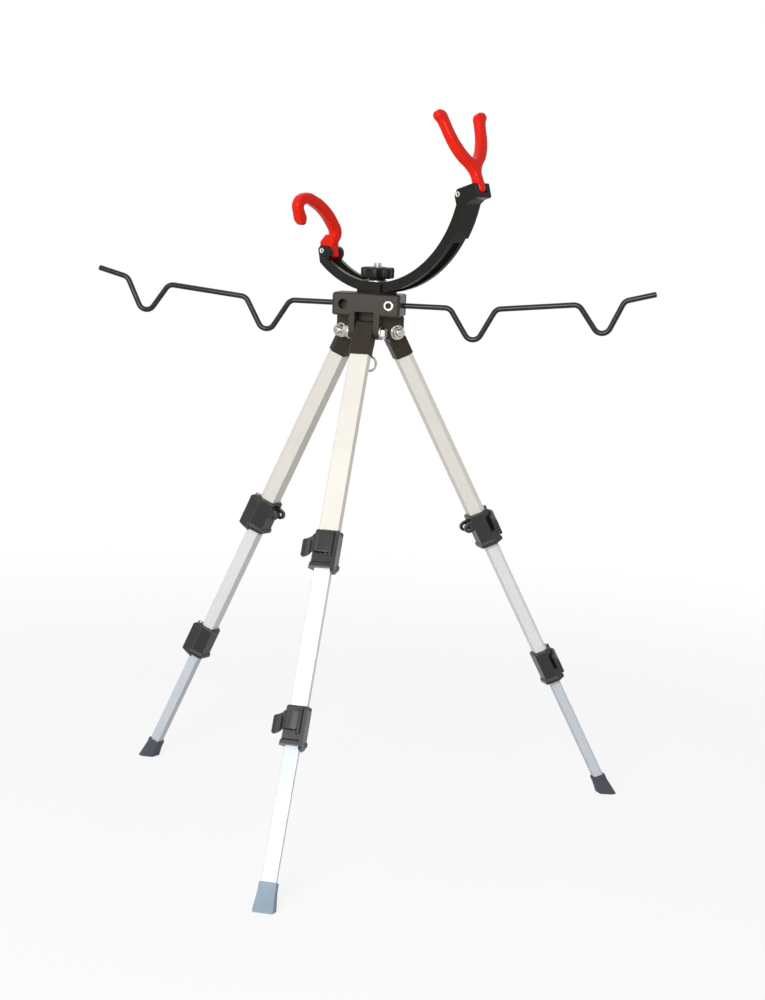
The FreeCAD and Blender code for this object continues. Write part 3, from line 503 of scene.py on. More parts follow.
def turned(name, profile, sides=48, hollow=False):
    # A turned part on the Z axis: a disc or ring drawn up and scaled step by step.
    radius, level = profile[0]
    fill = "NOTHING" if hollow else "NGON"
    piece = open_edit(bpy.ops.mesh.primitive_circle_add, vertices=sides, radius=radius, fill_type=fill)
    bpy.ops.transform.translate(value=(0, 0, level))
    for (near, low), (far, high) in zip(profile, profile[1:]):
        bpy.ops.mesh.extrude_region_move(TRANSFORM_OT_translate={"value": (0, 0, high - low)})
        share = far / near
        bpy.ops.transform.resize(value=(share, share, 1), center_override=(0, 0, high))
    return close_edit(piece, name)


def join(pieces, name):
    bpy.ops.object.select_all(action="DESELECT")
    for piece in pieces:
        piece.select_set(True)
    bpy.context.view_layer.objects.active = pieces[0]
    bpy.ops.object.join()
    pieces[0].name = name
    return pieces[0]


def cut_with(piece, tool, operation="DIFFERENCE"):
    # Boolean of two made solids; the tool goes.
    select_only(piece)
    cut = piece.modifiers.new("cut", "BOOLEAN")
    cut.operation = operation
    cut.object = tool
    cut.solver = "EXACT"
    bpy.ops.object.modifier_apply(modifier=cut.name)
    bpy.data.objects.remove(tool)
    return piece


def put(piece, place):
    # Lays a finished piece in place, with the place in its mesh.
    select_only(piece)
    piece.matrix_world = place
    bpy.ops.object.transform_apply(location=True, rotation=True, scale=True)


def twin(piece, name):
    copy = bpy.data.objects.new(name, piece.data.copy())
    bpy.context.scene.collection.objects.link(copy)
    return copy


def finish(piece, body, nodes, material):
    paint(piece, material)
    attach(piece, body)
    if nodes:
        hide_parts(*nodes)


def hexagon_solid(name, flats, height, base):
    # Hexagon prism whose corners are turned off in a cone at its free end.
    corner = flats / math.sqrt(3)
    piece = open_edit(bpy.ops.mesh.primitive_cylinder_add, vertices=6, radius=corner,
                      depth=height, location=(0, 0, base + height / 2))
    close_edit(piece, name)
    turned_off = turned("cone", [(corner * chamfer_share, base - height * 0.02),
                                 (corner * 1.02, base + height * 0.10),
                                 (corner * 1.02, base + height * 0.78),
                                 (flats / 2 * 0.96, base + height * 1.001)], 64)
    return cut_with(piece, turned_off, "INTERSECT")


def thread_profile(start, length, crest, root, pitch):
    # Ridges of a screw thread, one ring a turn.
    profile = []
    turns = int(length / pitch)
    for turn in range(turns):
        low = start + turn * pitch
        profile += [(root, low + 0.06 * pitch), (crest, low + 0.44 * pitch),
                    (crest, low + 0.56 * pitch), (root, low + 0.94 * pitch)]
    return profile


def clevis_place(leg):
    turn = math.radians(leg_turns[leg])
    radius = leg_radii[leg]
    hinge = head_axis + Vector((radius * math.cos(turn), radius * math.sin(turn), pivot_height))
    side = Matrix.Rotation(math.radians(-90 * head_sides[leg]), 4, "X")
    return Matrix.Translation(hinge) @ Matrix.Rotation(turn, 4, "Z") @ side


def make_bolt_set():
    seat = clevis_half + washer_height
    head = hexagon_solid("bolt_head", nut_flats, bolt_head_height, seat)
    tail = -seat - nut_height - bolt_end
    profile = [(thread_root * 0.8, tail), (thread_radius * 0.93, tail + bolt_point)]
    profile += thread_profile(tail + thread_start, bolt_end + nut_height,
                              thread_radius, thread_root, thread_pitch)
    profile += [(thread_radius, -clevis_half), (thread_radius, seat + shank_overlap)]
    shank = turned("bolt_shank", profile, 32)
    pieces = [head, shank]
    ring = [(washer_bore, 0), (washer_radius - washer_edge, 0), (washer_radius, washer_edge),
            (washer_radius, washer_height - washer_edge), (washer_radius - washer_edge, washer_height),
            (washer_bore, washer_height), (washer_bore, 0)]
    for side, name in ((1, "washer_under_head"), (-1, "washer_under_nut")):
        profile = [(radius, side * (clevis_half + level)) for radius, level in ring]
        pieces.append(turned(name, profile, 56, True))
    for piece in pieces:
        smooth(piece, 30)
    nut = hexagon_solid("nut", nut_flats, nut_height, seat)
    bore_radius = thread_radius * 0.985
    bore = turned("bore", [(bore_radius, seat - mm), (bore_radius, seat + nut_height - bore_lead),
                           (thread_radius * 1.2, seat + nut_height + 0.1 * mm)], 32)
    cut_with(nut, bore)
    put(nut, Matrix.Rotation(math.pi, 4, "X") @ Matrix.Rotation(nut_turn, 4, "Z"))
    smooth(nut, 30)
    return join(pieces + [nut], "bolt_set")


zinc_plate = zinc_material("zinc_plate", zinc_shade, zinc_dark, roughness=0.27, edge_radius=0.2 * mm)
bolt_set = make_bolt_set()
for leg in leg_turns:
    bolt = twin(bolt_set, leg + "_bolt_and_nut")
    put(bolt, clevis_place(leg))
    smooth(bolt, 30)
    finish(bolt, "head", [leg + "_hinge_bolt"], zinc_plate)
bpy.data.objects.remove(bolt_set)


# Screw eye and hanging ring: plated steel wire. The eye is bent round and
# screwed up into the head; the ring closes with a small gap.
eye_wire = 1.1 * mm
eye_radius = 4.0 * mm
eye_drop = 15.0 * mm
ear_round = 6.5 * mm
eye_shank = 1.5 * mm
eye_collar = 0.9 * mm
eye_shoulder = 2.2 * mm
eye_thread_start = 2.6 * mm
eye_thread_end = 0.8 * mm
eye_thread_pitch = 0.9 * mm
eye_loop_overlap = 0.5 * mm
eye_top_gap = 1.2 * mm
eye_gap = math.radians(34)
ring_radius = 6.8 * mm
ring_wire = 1.1 * mm
ring_gap = math.radians(5)
ring_play = 0.25 * mm
eye_centre = Vector((head_axis.x, head_axis.y, pivot_height - ear_round - eye_drop))


def drawn_wire(name, start, turn, radius, moves, sides, tip=None):
    # Round wire: a disc drawn along its runs and spun round its bends.
    piece = open_edit(bpy.ops.mesh.primitive_circle_add, vertices=sides, radius=radius,
                      location=start, rotation=turn, fill_type="NGON")
    for move in moves:
        if "run" in move:
            bpy.ops.mesh.extrude_region_move(TRANSFORM_OT_translate={"value": move["run"]})
        else:
            bpy.ops.mesh.spin(steps=move["steps"], angle=move["angle"], center=move["centre"],
                              axis=move["axis"])
    if tip:
        share, push, end = tip
        bpy.ops.mesh.extrude_region_move(TRANSFORM_OT_translate={"value": push})
        bpy.ops.transform.resize(value=(share, share, share), center_override=end)
    return close_edit(piece, name)


def make_screw_eye():
    start = eye_centre + Vector((0, eye_radius * math.sin(eye_gap), eye_radius * math.cos(eye_gap)))
    bend = {"centre": eye_centre, "axis": (1, 0, 0), "angle": 2 * math.pi - eye_gap, "steps": 44}
    loop = drawn_wire("eye_loop", start, (-math.pi / 2 - eye_gap, 0, 0), eye_wire, [bend], 20)
    low = eye_centre.z + eye_radius - eye_loop_overlap
    top = pivot_height - eye_top_gap
    thread = top - low - eye_thread_start - eye_thread_end
    profile = [(eye_wire * 0.9, low), (eye_wire * 1.2, low + eye_collar), (eye_shank, low + eye_shoulder)]
    profile += thread_profile(low + eye_thread_start, thread, eye_shank, eye_shank * 0.8, eye_thread_pitch)
    profile.append((eye_shank, top))
    shank = turned("eye_shank", profile, 24)
    put(shank, Matrix.Translation((head_axis.x, head_axis.y, 0)))
    return join([loop, shank], "screw_eye_wire")


def make_hanging_ring():
    lift = eye_centre.z - eye_radius + eye_wire + ring_wire + ring_play
    centre = Vector((head_axis.x, head_axis.y, lift - ring_radius))
    start = centre + Vector((ring_radius * math.sin(ring_gap), 0, -ring_radius * math.cos(ring_gap)))
    bend = {"centre": centre, "axis": (0, 1, 0), "angle": 2 * math.pi - 2 * ring_gap, "steps": 60}
    return drawn_wire("ring_wire", start, (0, math.pi / 2 - ring_gap, 0), ring_wire, [bend], 18)


screw_eye = make_screw_eye()
smooth(screw_eye, 35)
finish(screw_eye, "head", ["screw_eye"], zinc_plate)
hanging_ring = make_hanging_ring()
smooth(hanging_ring, 35)
finish(hanging_ring, "ring", ["hanging_ring"], zinc_plate)


# Clamp screw: plated socket screw turned into the front of the head, where it
# bears on the right wire. Its head is chamfered and has a hexagon socket.
screw_centre = head_axis + Vector((20.8 * mm, 0, 0))
screw_radius = 4.7 * mm
screw_head_height = 3.0 * mm
screw_chamfer = 0.55 * mm
screw_socket = 4.6 * mm
screw_socket_corner = screw_socket / math.sqrt(3)
screw_socket_depth = 2.7 * mm
screw_rim_depth = 0.35 * mm
screw_shank = 2.5 * mm
screw_low, screw_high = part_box("clamp_screw")


def make_clamp_screw():
    length = screw_high.y - screw_low.y
    profile = [(screw_shank, -length), (screw_shank, -screw_head_height),
               (screw_radius, -screw_head_height), (screw_radius, -screw_chamfer),
               (screw_radius - screw_chamfer, 0)]
    screw = turned("clamp_screw_steel", profile, 56)
    socket = open_edit(bpy.ops.mesh.primitive_cylinder_add, vertices=6, radius=screw_socket_corner,
                       depth=2 * screw_socket_depth, location=(0, 0, 0))
    close_edit(socket, "socket")
    cut_with(screw, socket)
    rim = turned("rim", [(screw_socket_corner * 0.9, -screw_rim_depth),
                         (screw_socket_corner * 1.12, 0.1 * mm)], 48)
    cut_with(screw, rim)
    place = Vector((screw_centre.x, screw_low.y, (screw_low.z + screw_high.z) / 2))
    put(screw, Matrix.Translation(place) @ Matrix.Rotation(math.radians(90), 4, "X"))
    return screw, place


clamp_screw, screw_face = make_clamp_screw()
smooth(clamp_screw, 30)
finish(clamp_screw, "head", ["clamp_screw"], zinc_plate)
# Faces inside the hexagon socket get a near-black second material: painted shade in the socket.
socket_painted_shade = zinc_material("socket_painted_shade", painted_shade_dark, painted_shade_dark, roughness=0.5,
                              edge_radius=0.2 * mm)
clamp_screw.data.materials.append(socket_painted_shade)
for face in clamp_screw.data.polygons:
    away = face.center - screw_face
    inside = math.hypot(away.x, away.z) < screw_socket_corner
    if inside and 0.2 * mm < away.y < screw_socket_depth * 1.1:
        face.material_index = 1


# Rod rests: 5 mm steel wire, cold bent into two notches and a turned-up end,
# then dipped in gloss black. The same bends, mirrored, make both.
wire_radius = 2.5 * mm
wire_bore = 18.0 * mm
wire_reach = 226.0 * mm
wire_swing = 35.0 * mm
wire_bend = 8.0 * mm
wire_tip = 0.8 * mm
wire_tip_share = 0.68
wire_reach_shares = (0.189, 0.288, 0.375, 0.700, 0.801, 0.878, 1.0)
wire_swing_shares = (0.0, -1.0, 0.03, 0.25, -0.665, 0.395, 0.605)
wire_black = (0.008, 0.008, 0.009)
wire_worn = (0.030, 0.030, 0.029)


def coated_material(name, colour, worn, roughness):
    # Dipped gloss coat: runs and dimples in the coat, thinner on the wear side.
    material, nodes, links, shader = start_material(
        name, {"Specular IOR Level": 0.2, "Coat Weight": 0.25, "Coat Roughness": 0.06})
    grain = add_node(nodes, "ShaderNodeGroup", node_tree=mould_grain,
                     values={"Grain Scale": 700, "Cloud Scale": 180})
    shades = add_mix(nodes, A=colour, B=worn)
    scuffs = add_node(nodes, "ShaderNodeMapRange", {"From Min": 0.55, "From Max": 0.8})
    wire(links,
         (grain, "Cloud", scuffs, "Value"),
         (scuffs, "Result", shades, "Factor"),
         (shades, "Result", shader, "Base Color"))
    add_surface(nodes, links, shader, (grain, "Cloud"), (grain, "Grain"),
               roughness, roughness + 0.22, 0.08 * mm, 0.5)
    return material


def make_rod_rest(side):
    node = "right_rod_rest" if side > 0 else "left_rod_rest"
    low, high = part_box(node)
    level = block_top - block_height / 2
    across = (low.y + high.y) / 2
    face = (block_high.x - block_low.x) / 2
    places = [Vector((side * (face - wire_bore), across, level))]
    for reach_share, swing_share in zip(wire_reach_shares, wire_swing_shares):
        places.append(Vector((side * (face + reach_share * wire_reach), across,
                              level + swing_share * wire_swing)))
    moves = []
    here = places[0]
    for before, corner, after in zip(places, places[1:], places[2:]):
        arriving = (corner - before).normalized()
        leaving = (after - corner).normalized()
        angle = arriving.angle(leaving)
        reach = wire_bend * math.tan(angle / 2)
        bend_start = corner - arriving * reach
        upwards = 1 if leaving.z > arriving.z else -1
        inwards = Vector((-arriving.z, 0, arriving.x)) * (side * upwards)
        moves.append({"run": bend_start - here})
        moves.append({"centre": bend_start + inwards * wire_bend, "axis": (0, side * upwards, 0),
                      "angle": angle, "steps": 8})
        here = corner + leaving * reach
    end = places[-1]
    leaving = (end - places[-2]).normalized()
    moves.append({"run": end - leaving * wire_tip - here})
    piece = drawn_wire(node + "_wire", places[0], (0, math.pi / 2, 0), wire_radius, moves, 24,
                       (wire_tip_share, leaving * wire_tip, end))
    smooth(piece, 40)
    return piece


black_coat = coated_material("black_coat", wire_black, wire_worn, roughness=0.2)
for side, node in ((-1, "left_rod_rest"), (1, "right_rod_rest")):
    finish(make_rod_rest(side), node, [node], black_coat)


# Cradle: a curved nylon arm with an I section, ears for the hook at one end and
# a fork housing at the other. A saddle holds it square on the swivel stud.
cradle_black = (0.0065, 0.0060, 0.0042)
# The edge colour paints the arm's corners paler: partly wear, partly a painted highlight.
cradle_edge_wear_and_highlight = (0.120, 0.110, 0.085)
cradle_corner = 0.45 * mm
swivel_low, swivel_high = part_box("swivel_stud")
swivel_axis = (swivel_low + swivel_high) / 2
cradle_yaw = math.radians(-32)
arc_radius = 100.8 * mm
arc_outer = 109.8 * mm
arc_shift = 2.2 * mm
arc_floor = block_top + 1.1 * mm
arc_left_end = -38.0
arm_half = 9.25 * mm
arm_rib = 4.0 * mm
ear_radius = 4.8 * mm
hook_rivet_angle = -40.6
rivet_inset = 0.8 * mm
ear_web_round = 0.4 * mm
ear_web_play = 0.02 * mm
curve_steps = 8
round_steps = 5


def cradle_place():
    base = Matrix.Translation((swivel_axis.x, swivel_axis.y, 0))
    return base @ Matrix.Rotation(cradle_yaw, 4, "Z")


def arc_point(radius, degrees):
    angle = math.radians(degrees)
    level = arc_floor + arc_outer
    return Vector((arc_shift + radius * math.sin(angle), 0, level - radius * math.cos(angle)))


def flat_moulding(name, outline, thickness, edge_round, place, corners="AUTO"):
    # A plate inside a closed outline, smooth or with corners, and with rounded edges.
    curve = bpy.data.curves.new(name, "CURVE")
    curve.dimensions = "2D"
    curve.fill_mode = "BOTH"
    spline = curve.splines.new("BEZIER")
    spline.bezier_points.add(len(outline) - 1)
    for point, (x, y) in zip(spline.bezier_points, outline):
        point.co = (x, y, 0)
        point.handle_left_type = corners
        point.handle_right_type = corners
    spline.use_cyclic_u = True
    spline.resolution_u = curve_steps
    curve.extrude = thickness / 2 - edge_round
    curve.bevel_depth = edge_round
    curve.bevel_resolution = round_steps
    curve.offset = -edge_round
    piece = bpy.data.objects.new(name, curve)
    bpy.context.scene.collection.objects.link(piece)
    select_only(piece)
    bpy.ops.object.convert(target="MESH")
    bpy.ops.object.mode_set(mode="EDIT")
    close_edit(piece, name)
    put(piece, place)
    return piece


def axes_place(across, up, through, base):
    axes = Matrix((across, up, through)).transposed().to_4x4()
    return Matrix.Translation(base) @ axes


def add_ear_webs(arm):
    # Fills the corner between each ear and the end of the arm, on both cheeks.
    ear = arc_point(arc_radius - rivet_inset, hook_rivet_angle)
    end = arc_point(arc_outer, arc_left_end)
    inner = arc_point(arc_radius + rivet_inset, arc_left_end + 1)
    corners = [(ear.x - ear_radius, ear.z), (end.x, end.z), (inner.x, inner.z), (ear.x, ear.z)]
    for side in (-1, 1):
        middle = Vector((0, side * (arm_half - arm_rib / 2), 0))
        lie = axes_place(Vector((1, 0, 0)), Vector((0, 0, 1)), Vector((0, -1, 0)), middle)
        web = flat_moulding("ear_web", corners, arm_rib - ear_web_play, ear_web_round,
                            cradle_place() @ lie, "VECTOR")
        cut_with(arm, web, "UNION")
    smooth(arm, 45)


arm_black = moulded_material("arm_black", cradle_black, cradle_edge_wear_and_highlight, roughness=0.30,
                             edge_radius=0.4 * mm, grain_depth=0.02 * mm, gloss=0.16)
add_ear_webs(eased_part("cradle_arc", "cradle_arm", "cradle", cradle_corner, arm_black))
eased_part("cradle_saddle", "cradle_seat", "cradle", cradle_corner, arm_black)


# Swivel stud, washer and hand knob: a plated stud stands in the head, and the
# six-lobed black knob screws down on it over a steel washer.
stud_radius = 3.9 * mm
stud_pitch = 1.25 * mm
stud_root = stud_radius * 0.86
stud_foot_chamfer = 0.6 * mm
stud_top_chamfer = 0.5 * mm
thread_begins = 0.56
washer_rim = 0.3 * mm
knob_low, knob_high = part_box("swivel_knob")
knob_outer = 15.25 * mm
knob_inner = 12.07 * mm
knob_hub = 7.5 * mm
knob_hub_height = 1.4 * mm
knob_bore = 3.98 * mm
knob_lobes = 6
knob_steps = (8, 7, 4)
knob_hollow = 5.0 * mm
knob_lobe = 2.2 * mm
knob_rim = 1.8 * mm
knob_dish = 9.0 * mm
knob_dish_depth = 0.9 * mm
knob_dish_rise = 0.2 * mm


def make_stud():
    length = swivel_high.z - swivel_low.z
    profile = [(stud_radius * 0.85, 0), (stud_radius, stud_foot_chamfer), (stud_radius, length * 0.55)]
    profile += thread_profile(length * thread_begins, length * 0.4, stud_radius, stud_root, stud_pitch)
    profile += [(stud_root, length - stud_top_chamfer), (stud_radius * 0.75, length)]
    stud = turned("swivel_stud_steel", profile, 40)
    put(stud, Matrix.Translation((swivel_axis.x, swivel_axis.y, swivel_low.z)))
    return stud


def make_washer():
    low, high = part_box("swivel_washer")
    radius = (high.x - low.x) / 2
    height = high.z - low.z
    rim = radius - washer_rim
    profile = [(knob_bore, 0), (rim, 0), (radius, washer_rim), (radius, height - washer_rim),
               (rim, height), (knob_bore, height), (knob_bore, 0)]
    washer = turned("swivel_washer_steel", profile, 64, True)
    put(washer, Matrix.Translation((swivel_axis.x, swivel_axis.y, low.z)))
    return washer


def knob_outline():
    # Half of a hollow and half of a lobe, mirrored and repeated round the disc.
    # The corner between them is an arc that touches the hollow and the rim.
    reach = knob_inner + knob_hollow
    inside = knob_outer - knob_lobe
    across = knob_hollow + knob_lobe
    corner = math.acos((inside ** 2 + reach ** 2 - across ** 2) / (2 * inside * reach))
    opening = math.acos((across ** 2 + reach ** 2 - inside ** 2) / (2 * across * reach))
    centre = Vector((inside * math.cos(corner), inside * math.sin(corner)))
    inward = math.atan2(-centre.y, reach - centre.x)
    hollow_steps, corner_arc_steps, lobe_steps = knob_steps
    half = []
    for step in range(hollow_steps + 1):
        turn = opening * step / hollow_steps
        half.append(Vector((reach - knob_hollow * math.cos(turn), knob_hollow * math.sin(turn))))
    for step in range(1, corner_arc_steps + 1):
        turn = inward + (corner - inward) * step / corner_arc_steps
        half.append(centre + knob_lobe * Vector((math.cos(turn), math.sin(turn))))
    for step in range(1, lobe_steps + 1):
        turn = corner + (math.pi / knob_lobes - corner) * step / lobe_steps
        half.append(knob_outer * Vector((math.cos(turn), math.sin(turn))))
    whole = [Vector((point.x, -point.y)) for point in reversed(half[1:-1])] + half
    outline = []
    for hollow in range(knob_lobes):
        turn = Matrix.Rotation(2 * math.pi * (hollow + 0.5) / knob_lobes, 2)
        outline += [turn @ point for point in whole]
    return outline


def make_knob():
    # A lobed plate with rounded rims, a hub under it, a dish on top and a bore.
    height = knob_high.z - knob_low.z
    plate = height - knob_hub_height
    level = Matrix.Translation((0, 0, knob_hub_height + plate / 2))
    knob = flat_moulding("knob_moulding", knob_outline(), plate, knob_rim, level, "VECTOR")
    hub = turned("hub", [(knob_hub, 0), (knob_hub * 1.02, knob_hub_height * 1.5)], 64)
    cut_with(knob, hub, "UNION")
    dish = turned("dish", [(knob_dish * 0.9, height - knob_dish_depth),
                           (knob_dish, height + knob_dish_rise)], 72)
    cut_with(knob, dish)
    bore = turned("bore", [(knob_bore, -mm), (knob_bore, height + mm)], 48)
    cut_with(knob, bore)
    put(knob, cradle_place() @ Matrix.Translation((0, 0, knob_low.z)))
    smooth(knob, 35)
    return knob


stud = make_stud()
smooth(stud, 30)
finish(stud, "head", ["swivel_stud"], zinc_plate)
washer = make_washer()
smooth(washer, 30)
finish(washer, "cradle", ["swivel_washer"], zinc_plate)
finish(make_knob(), "knob", ["swivel_knob"], arm_black)


# Rivets: hollow steel rivets, rolled over outside the cheeks of the arm, hold
# the hook and the fork and let them fold.
rivet_radius = 2.6 * mm
rivet_bore = 0.9 * mm
rivet_height = 0.7 * mm
rivet_shank = 1.5 * mm
rivet_rim_shares = ((1, 0), (1, 0.35), (0.9, 0.88), (0.72, 1), (0.55, 0.95))
rivet_mouth_shares = ((1.25, 0.65), (1, 0.1))
rivet_shade = (0.72, 0.69, 0.60)
rivet_dark = (0.42, 0.39, 0.32)


def make_rivet(node, name):
    low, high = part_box(node)
    outside = [(rivet_shank, 0), (rivet_shank, arm_half)]
    outside += [(rivet_radius * share, arm_half + rivet_height * rise) for share, rise in rivet_rim_shares]
    outside += [(rivet_bore * share, arm_half + rivet_height * rise) for share, rise in rivet_mouth_shares]
    lower = [(radius, -level) for radius, level in reversed(outside)]
    profile = lower + outside[1:] + [lower[0]]
    rivet = turned(name, profile, 40, True)
    lie = Matrix.Rotation(cradle_yaw, 4, "Z") @ Matrix.Rotation(math.radians(90), 4, "X")
    put(rivet, Matrix.Translation((low + high) / 2) @ lie)
    smooth(rivet, 40)
    return rivet


rivet_steel = zinc_material("rivet_steel", rivet_shade, rivet_dark, roughness=0.25, edge_radius=0.15 * mm)
for node, name in (("hook_rivet", "hook_rivet_steel"), ("fork_rivet", "fork_rivet_steel")):
    finish(make_rivet(node, name), "cradle", [node], rivet_steel)


# Fork: red nylon Y with rounded edges, moulded flat, on a tongue that the
# rivet holds in the housing.
red_nylon = (0.80, 0.012, 0.0015)
# The edge colour paints the red mouldings' edges brighter orange: mostly a painted highlight, with a little
# wear.
red_edge_wear_and_highlight = (0.95, 0.075, 0.02)
housing_tilt = math.radians(17.6)
fork_thickness = 8.8 * mm
fork_round = 2.6 * mm
fork_lean = math.radians(23.4)
fork_place = 18.0 * mm
fork_half_spread = 31.4 * mm
fork_height = 74.2 * mm
fork_floor = -3.95 * mm
fork_tongue_height = 6.6 * mm
fork_rivet_angle = 78.6
tongue_half = 5.0 * mm
tongue_back = 3.0 * mm
tongue_round = 0.5 * mm
rivet_clear = 1.55 * mm
fork_across_shares = (0.0, 0.102, 0.14, 0.14, 0.146, 0.261, 0.465, 0.643, 0.771, 0.847,
                      0.911, 1.0, 0.962, 0.809, 0.656, 0.592, 0.529, 0.395, 0.21, 0.096)
fork_up_shares = (0.0, 0.016, 0.061, 0.148, 0.236, 0.318, 0.404, 0.519, 0.66, 0.795,
                  0.871, 0.925, 0.984, 1.0, 0.964, 0.876, 0.755, 0.606, 0.485, 0.435)
fork_crotch_share = 0.418


def housing_point(along, up):
    base = arc_point(arc_radius - rivet_inset, fork_rivet_angle)
    x = along * math.cos(housing_tilt) - up * math.sin(housing_tilt)
    z = along * math.sin(housing_tilt) + up * math.cos(housing_tilt)
    return base + Vector((x, 0, z))


def rivet_bore_cut(piece, centre):
    bore = turned("bore", [(rivet_clear, -arm_half), (rivet_clear, arm_half)], 32)
    put(bore, cradle_place() @ Matrix.Translation(centre) @ Matrix.Rotation(math.radians(90), 4, "X"))
    return cut_with(piece, bore)


def make_fork():
    half = [(across * fork_half_spread, up * fork_height)
            for across, up in zip(fork_across_shares, fork_up_shares)]
    outline = half + [(0, fork_crotch_share * fork_height)]
    outline += [(-across, up) for across, up in reversed(half[1:])]
    up = Vector((-math.sin(fork_lean), 0, math.cos(fork_lean)))
    through = Vector((math.cos(fork_lean), 0, math.sin(fork_lean)))
    foot = housing_point(fork_place, fork_floor)
    lie = axes_place(Vector((0, 1, 0)), up, through, foot)
    plate = flat_moulding("fork_plate", outline, fork_thickness, fork_round, cradle_place() @ lie)
    tongue_top = fork_floor + fork_tongue_height
    outline = [(-tongue_back, fork_floor + tongue_back), (0, fork_floor), (fork_place, fork_floor),
               (fork_place, tongue_top), (-tongue_back / 2, tongue_top), (-tongue_back, 0)]
    side = axes_place(Vector((1, 0, 0)), Vector((0, 0, 1)), Vector((0, -1, 0)), Vector((0, 0, 0)))
    tilt = Matrix.Rotation(-housing_tilt, 4, "Y")
    lie = cradle_place() @ Matrix.Translation(housing_point(0, 0)) @ tilt @ side
    tongue = flat_moulding("tongue", outline, 2 * tongue_half, tongue_round, lie, "VECTOR")
    cut_with(plate, tongue, "UNION")
    return rivet_bore_cut(plate, housing_point(0, 0))


red_moulding = moulded_material("red_moulding", red_nylon, red_edge_wear_and_highlight, roughness=0.2,
                                edge_radius=0.9 * mm, grain_depth=0.01 * mm,
                                edge_patchiness=0.2, coat=0.04, cloud_share=0.04, gloss=0.12)
fork = make_fork()
smooth(fork, 40)
fork.name = "fork_moulding"
finish(fork, "fork", ["rod_fork"], red_moulding)


# Hook: red nylon catch, flat and open to one side, on a solid root between the
# ears of the arm.
hook_thickness = 9.6 * mm
hook_width = 10.2 * mm
hook_round = 2.7 * mm
hook_plane = 4.5 * mm
hook_foot = 9.5 * mm
hook_across = 46.5 * mm
hook_rise = 37.5 * mm
hook_across_shares = (0.0, 0.06, -0.05, -0.29, -0.57, -0.82, -0.98, -0.95, -0.895)
hook_rise_shares = (0.0, 0.18, 0.43, 0.73, 0.93, 1.0, 0.85, 0.65, 0.48)
hook_width_shares = (0.90, 1.04, 1.03, 1.0, 0.98, 0.96, 0.95, 0.92, 0.92)
hook_root = 9.2 * mm
hook_root_round = 0.7 * mm
hook_root_x_shares = (-0.78, -0.78, -0.04, 0.9, 0.8, 0.98, 0.54, 0.11, -0.35)
hook_root_z_shares = (0.48, 0.89, 1.61, 1.4, 0.6, -0.54, -0.87, -0.65, -0.22)


def both_sides(places, widths):
    # Outline along both sides of a centre line, with a rounded end each.
    left = []
    right = []
    last = len(places) - 1
    for index, (place, width) in enumerate(zip(places, widths)):
        before = places[max(index - 1, 0)]
        after = places[min(index + 1, last)]
        along = (after - before).normalized()
        side = Vector((-along.y, along.x)) * (width / 2)
        left.append(place + side)
        right.append(place - side)
    first = places[0] - (places[1] - places[0]).normalized() * (widths[0] / 2)
    end = places[-1] + (places[-1] - places[-2]).normalized() * (widths[-1] / 2)
    return [first] + left + [end] + list(reversed(right))


def make_hook():
    places = [Vector((across * hook_across, rise * hook_rise))
              for across, rise in zip(hook_across_shares, hook_rise_shares)]
    widths = [share * hook_width for share in hook_width_shares]
    outline = [tuple(point) for point in both_sides(places, widths)]
    base = arc_point(arc_radius - rivet_inset, hook_rivet_angle)
    foot = base + Vector((hook_plane, 0, hook_foot))
    lie = axes_place(Vector((0, 1, 0)), Vector((0, 0, 1)), Vector((1, 0, 0)), foot)
    bow = flat_moulding("hook_bow", outline, hook_thickness, hook_round, cradle_place() @ lie)
    corners = [(x * hook_root, z * hook_root) for x, z in zip(hook_root_x_shares, hook_root_z_shares)]
    side = axes_place(Vector((1, 0, 0)), Vector((0, 0, 1)), Vector((0, -1, 0)), base)
    root = flat_moulding("hook_root", list(reversed(corners)), 2 * tongue_half, hook_root_round,
                         cradle_place() @ side, "VECTOR")
    cut_with(bow, root, "UNION")
    return rivet_bore_cut(bow, base)


hook = make_hook()
smooth(hook, 40)
hook.name = "hook_moulding"
finish(hook, "hook", ["butt_hook"], red_moulding)


# Leg tubes: three telescoping six-sided aluminium extrusions a leg, satin
# anodised. Fine die lines run along them and their corners are rounded.
tube_corner = 0.8 * mm
tube_palest = 0.95
die_stretch = 0.012
splay = math.radians(28.5)
# Section colours are partly the metal's own tone and partly painted light: the upper cream stands in for
# warm reflections and the lower blue-grey for shade.
tube_tones_and_painted_light = {"upper": (0.80, 0.765, 0.69), "middle": (0.84, 0.84, 0.83), "lower": (0.66, 0.71, 0.75)}


def make_die_lines():
    # Lines drawn along the tube by the die, in the tube's own direction.
    group, entry, leaving = add_group(
        "die_lines",
        [("NodeSocketVector", "Turn", (0, 0, 0)), ("NodeSocketFloat", "Scale", 900)],
        [("NodeSocketFloat", "Lines"), ("NodeSocketFloat", "Bands")])
    nodes = group.nodes
    place = add_node(nodes, "ShaderNodeTexCoord")
    along = add_node(nodes, "ShaderNodeMapping", vector_type="TEXTURE")
    flat = add_node(nodes, "ShaderNodeMapping", {"Scale": (1, 1, die_stretch)})
    lines = add_node(nodes, "ShaderNodeTexNoise", {"Detail": 3})
    bands = add_node(nodes, "ShaderNodeTexNoise", {"Scale": 30, "Detail": 3})
    wire(group.links,
         (place, "Object", along, "Vector"),
         (entry, "Turn", along, "Rotation"),
         (along, "Vector", flat, "Vector"),
         (flat, "Vector", lines, "Vector"),
         (entry, "Scale", lines, "Scale"),
         (along, "Vector", bands, "Vector"),
         (lines, "Fac", leaving, "Lines"),
         (bands, "Fac", leaving, "Bands"))
    return group


die_lines = make_die_lines()


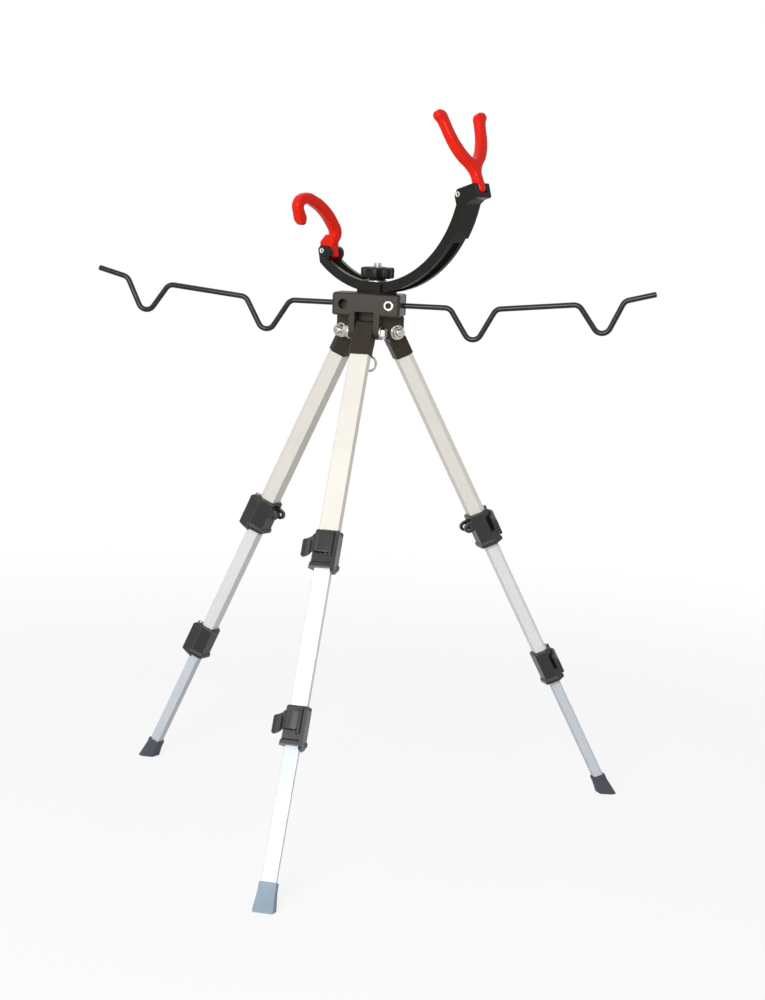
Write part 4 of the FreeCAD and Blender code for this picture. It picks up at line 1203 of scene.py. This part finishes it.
def anodised_material(name, colour, turn):
    # Satin anodised metal: faint bands, die lines along it and lightly eased corners.
    material, nodes, links, shader = start_material(name, {"Metallic": 0.12, "Specular IOR Level": 0.35})
    edges = add_node(nodes, "ShaderNodeGroup", node_tree=worn_highlit_edges, values={"Radius": 0.3 * mm})
    drawn = add_node(nodes, "ShaderNodeGroup", node_tree=die_lines, values={"Turn": turn})
    darker = [channel * 0.93 for channel in colour]
    paler = [min(channel * 1.05, tube_palest) for channel in colour]
    shades = add_mix(nodes, A=darker, B=paler)
    wire(links,
         (drawn, "Bands", shades, "Factor"),
         (shades, "Result", shader, "Base Color"))
    add_surface(nodes, links, shader, (drawn, "Lines"), (drawn, "Lines"), 0.30, 0.50, 0.02 * mm, 0.5, edges)
    return material


for leg in leg_turns:
    lie = Matrix.Rotation(math.radians(leg_turns[leg]), 4, "Z") @ Matrix.Rotation(-splay, 4, "Y")
    for section in ("upper", "middle", "lower"):
        name = leg + "_" + section
        anodised = anodised_material(name + "_anodised", tube_tones_and_painted_light[section], lie.to_euler())
        eased_part(name + "_tube", name + "_extrusion", name + "_leg", tube_corner, anodised)


# Flip locks: nylon collars pressed on the tube ends, each with a pinned lever
# whose cam bears on the inner tube. The upper collars carry drilled lugs.
lock_black = (0.0105, 0.0105, 0.0100)
# The edge colour paints the locks' corners paler: partly wear, partly a painted highlight.
lock_edge_wear_and_highlight = (0.17, 0.17, 0.165)
lock_corner = 0.5 * mm
lever_corner = 0.4 * mm
lock_moulding = moulded_material("lock_black", lock_black, lock_edge_wear_and_highlight, roughness=0.27,
                                 edge_radius=0.7 * mm, grain_depth=0.03 * mm, gloss=0.45)
lock_carriers = {"upper": "upper", "lower": "middle"}
for leg in leg_turns:
    for level, carrier in lock_carriers.items():
        name = leg + "_" + level
        eased_part(name + "_lock", name + "_lock_moulding", leg + "_" + carrier + "_leg",
                   lock_corner, lock_moulding)
        eased_part(name + "_lever", name + "_lever_moulding", name + "_lever",
                   lever_corner, lock_moulding)
        paint(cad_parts[name + "_lock_pin"], zinc_plate)


# Feet: soft grey-black rubber tips pushed over the lowest tubes, with a sole cut
# level with the ground.
rubber_black = (0.045, 0.054, 0.064)
rubber_edge = (0.15, 0.17, 0.19)
# The front foot has a paler, bluer rubber than the other two: painted light on the foot that faces the
# lamps.
front_foot_painted_lit = (0.20, 0.25, 0.30)
front_foot_painted_lit_edge = (0.42, 0.48, 0.54)
foot_corner = 1.2 * mm
rubber = moulded_material("foot_rubber", rubber_black, rubber_edge, roughness=0.62,
                          edge_radius=0.8 * mm, grain_depth=0.06 * mm, cloud_share=0.5)
lit_front_rubber = moulded_material("front_foot_rubber", front_foot_painted_lit, front_foot_painted_lit_edge, roughness=0.66,
                                edge_radius=0.8 * mm, grain_depth=0.06 * mm, cloud_share=0.45)
for leg in leg_turns:
    eased_part(leg + "_foot", leg + "_foot_rubber", leg + "_lower_leg", foot_corner,
               lit_front_rubber if leg == "front" else rubber)
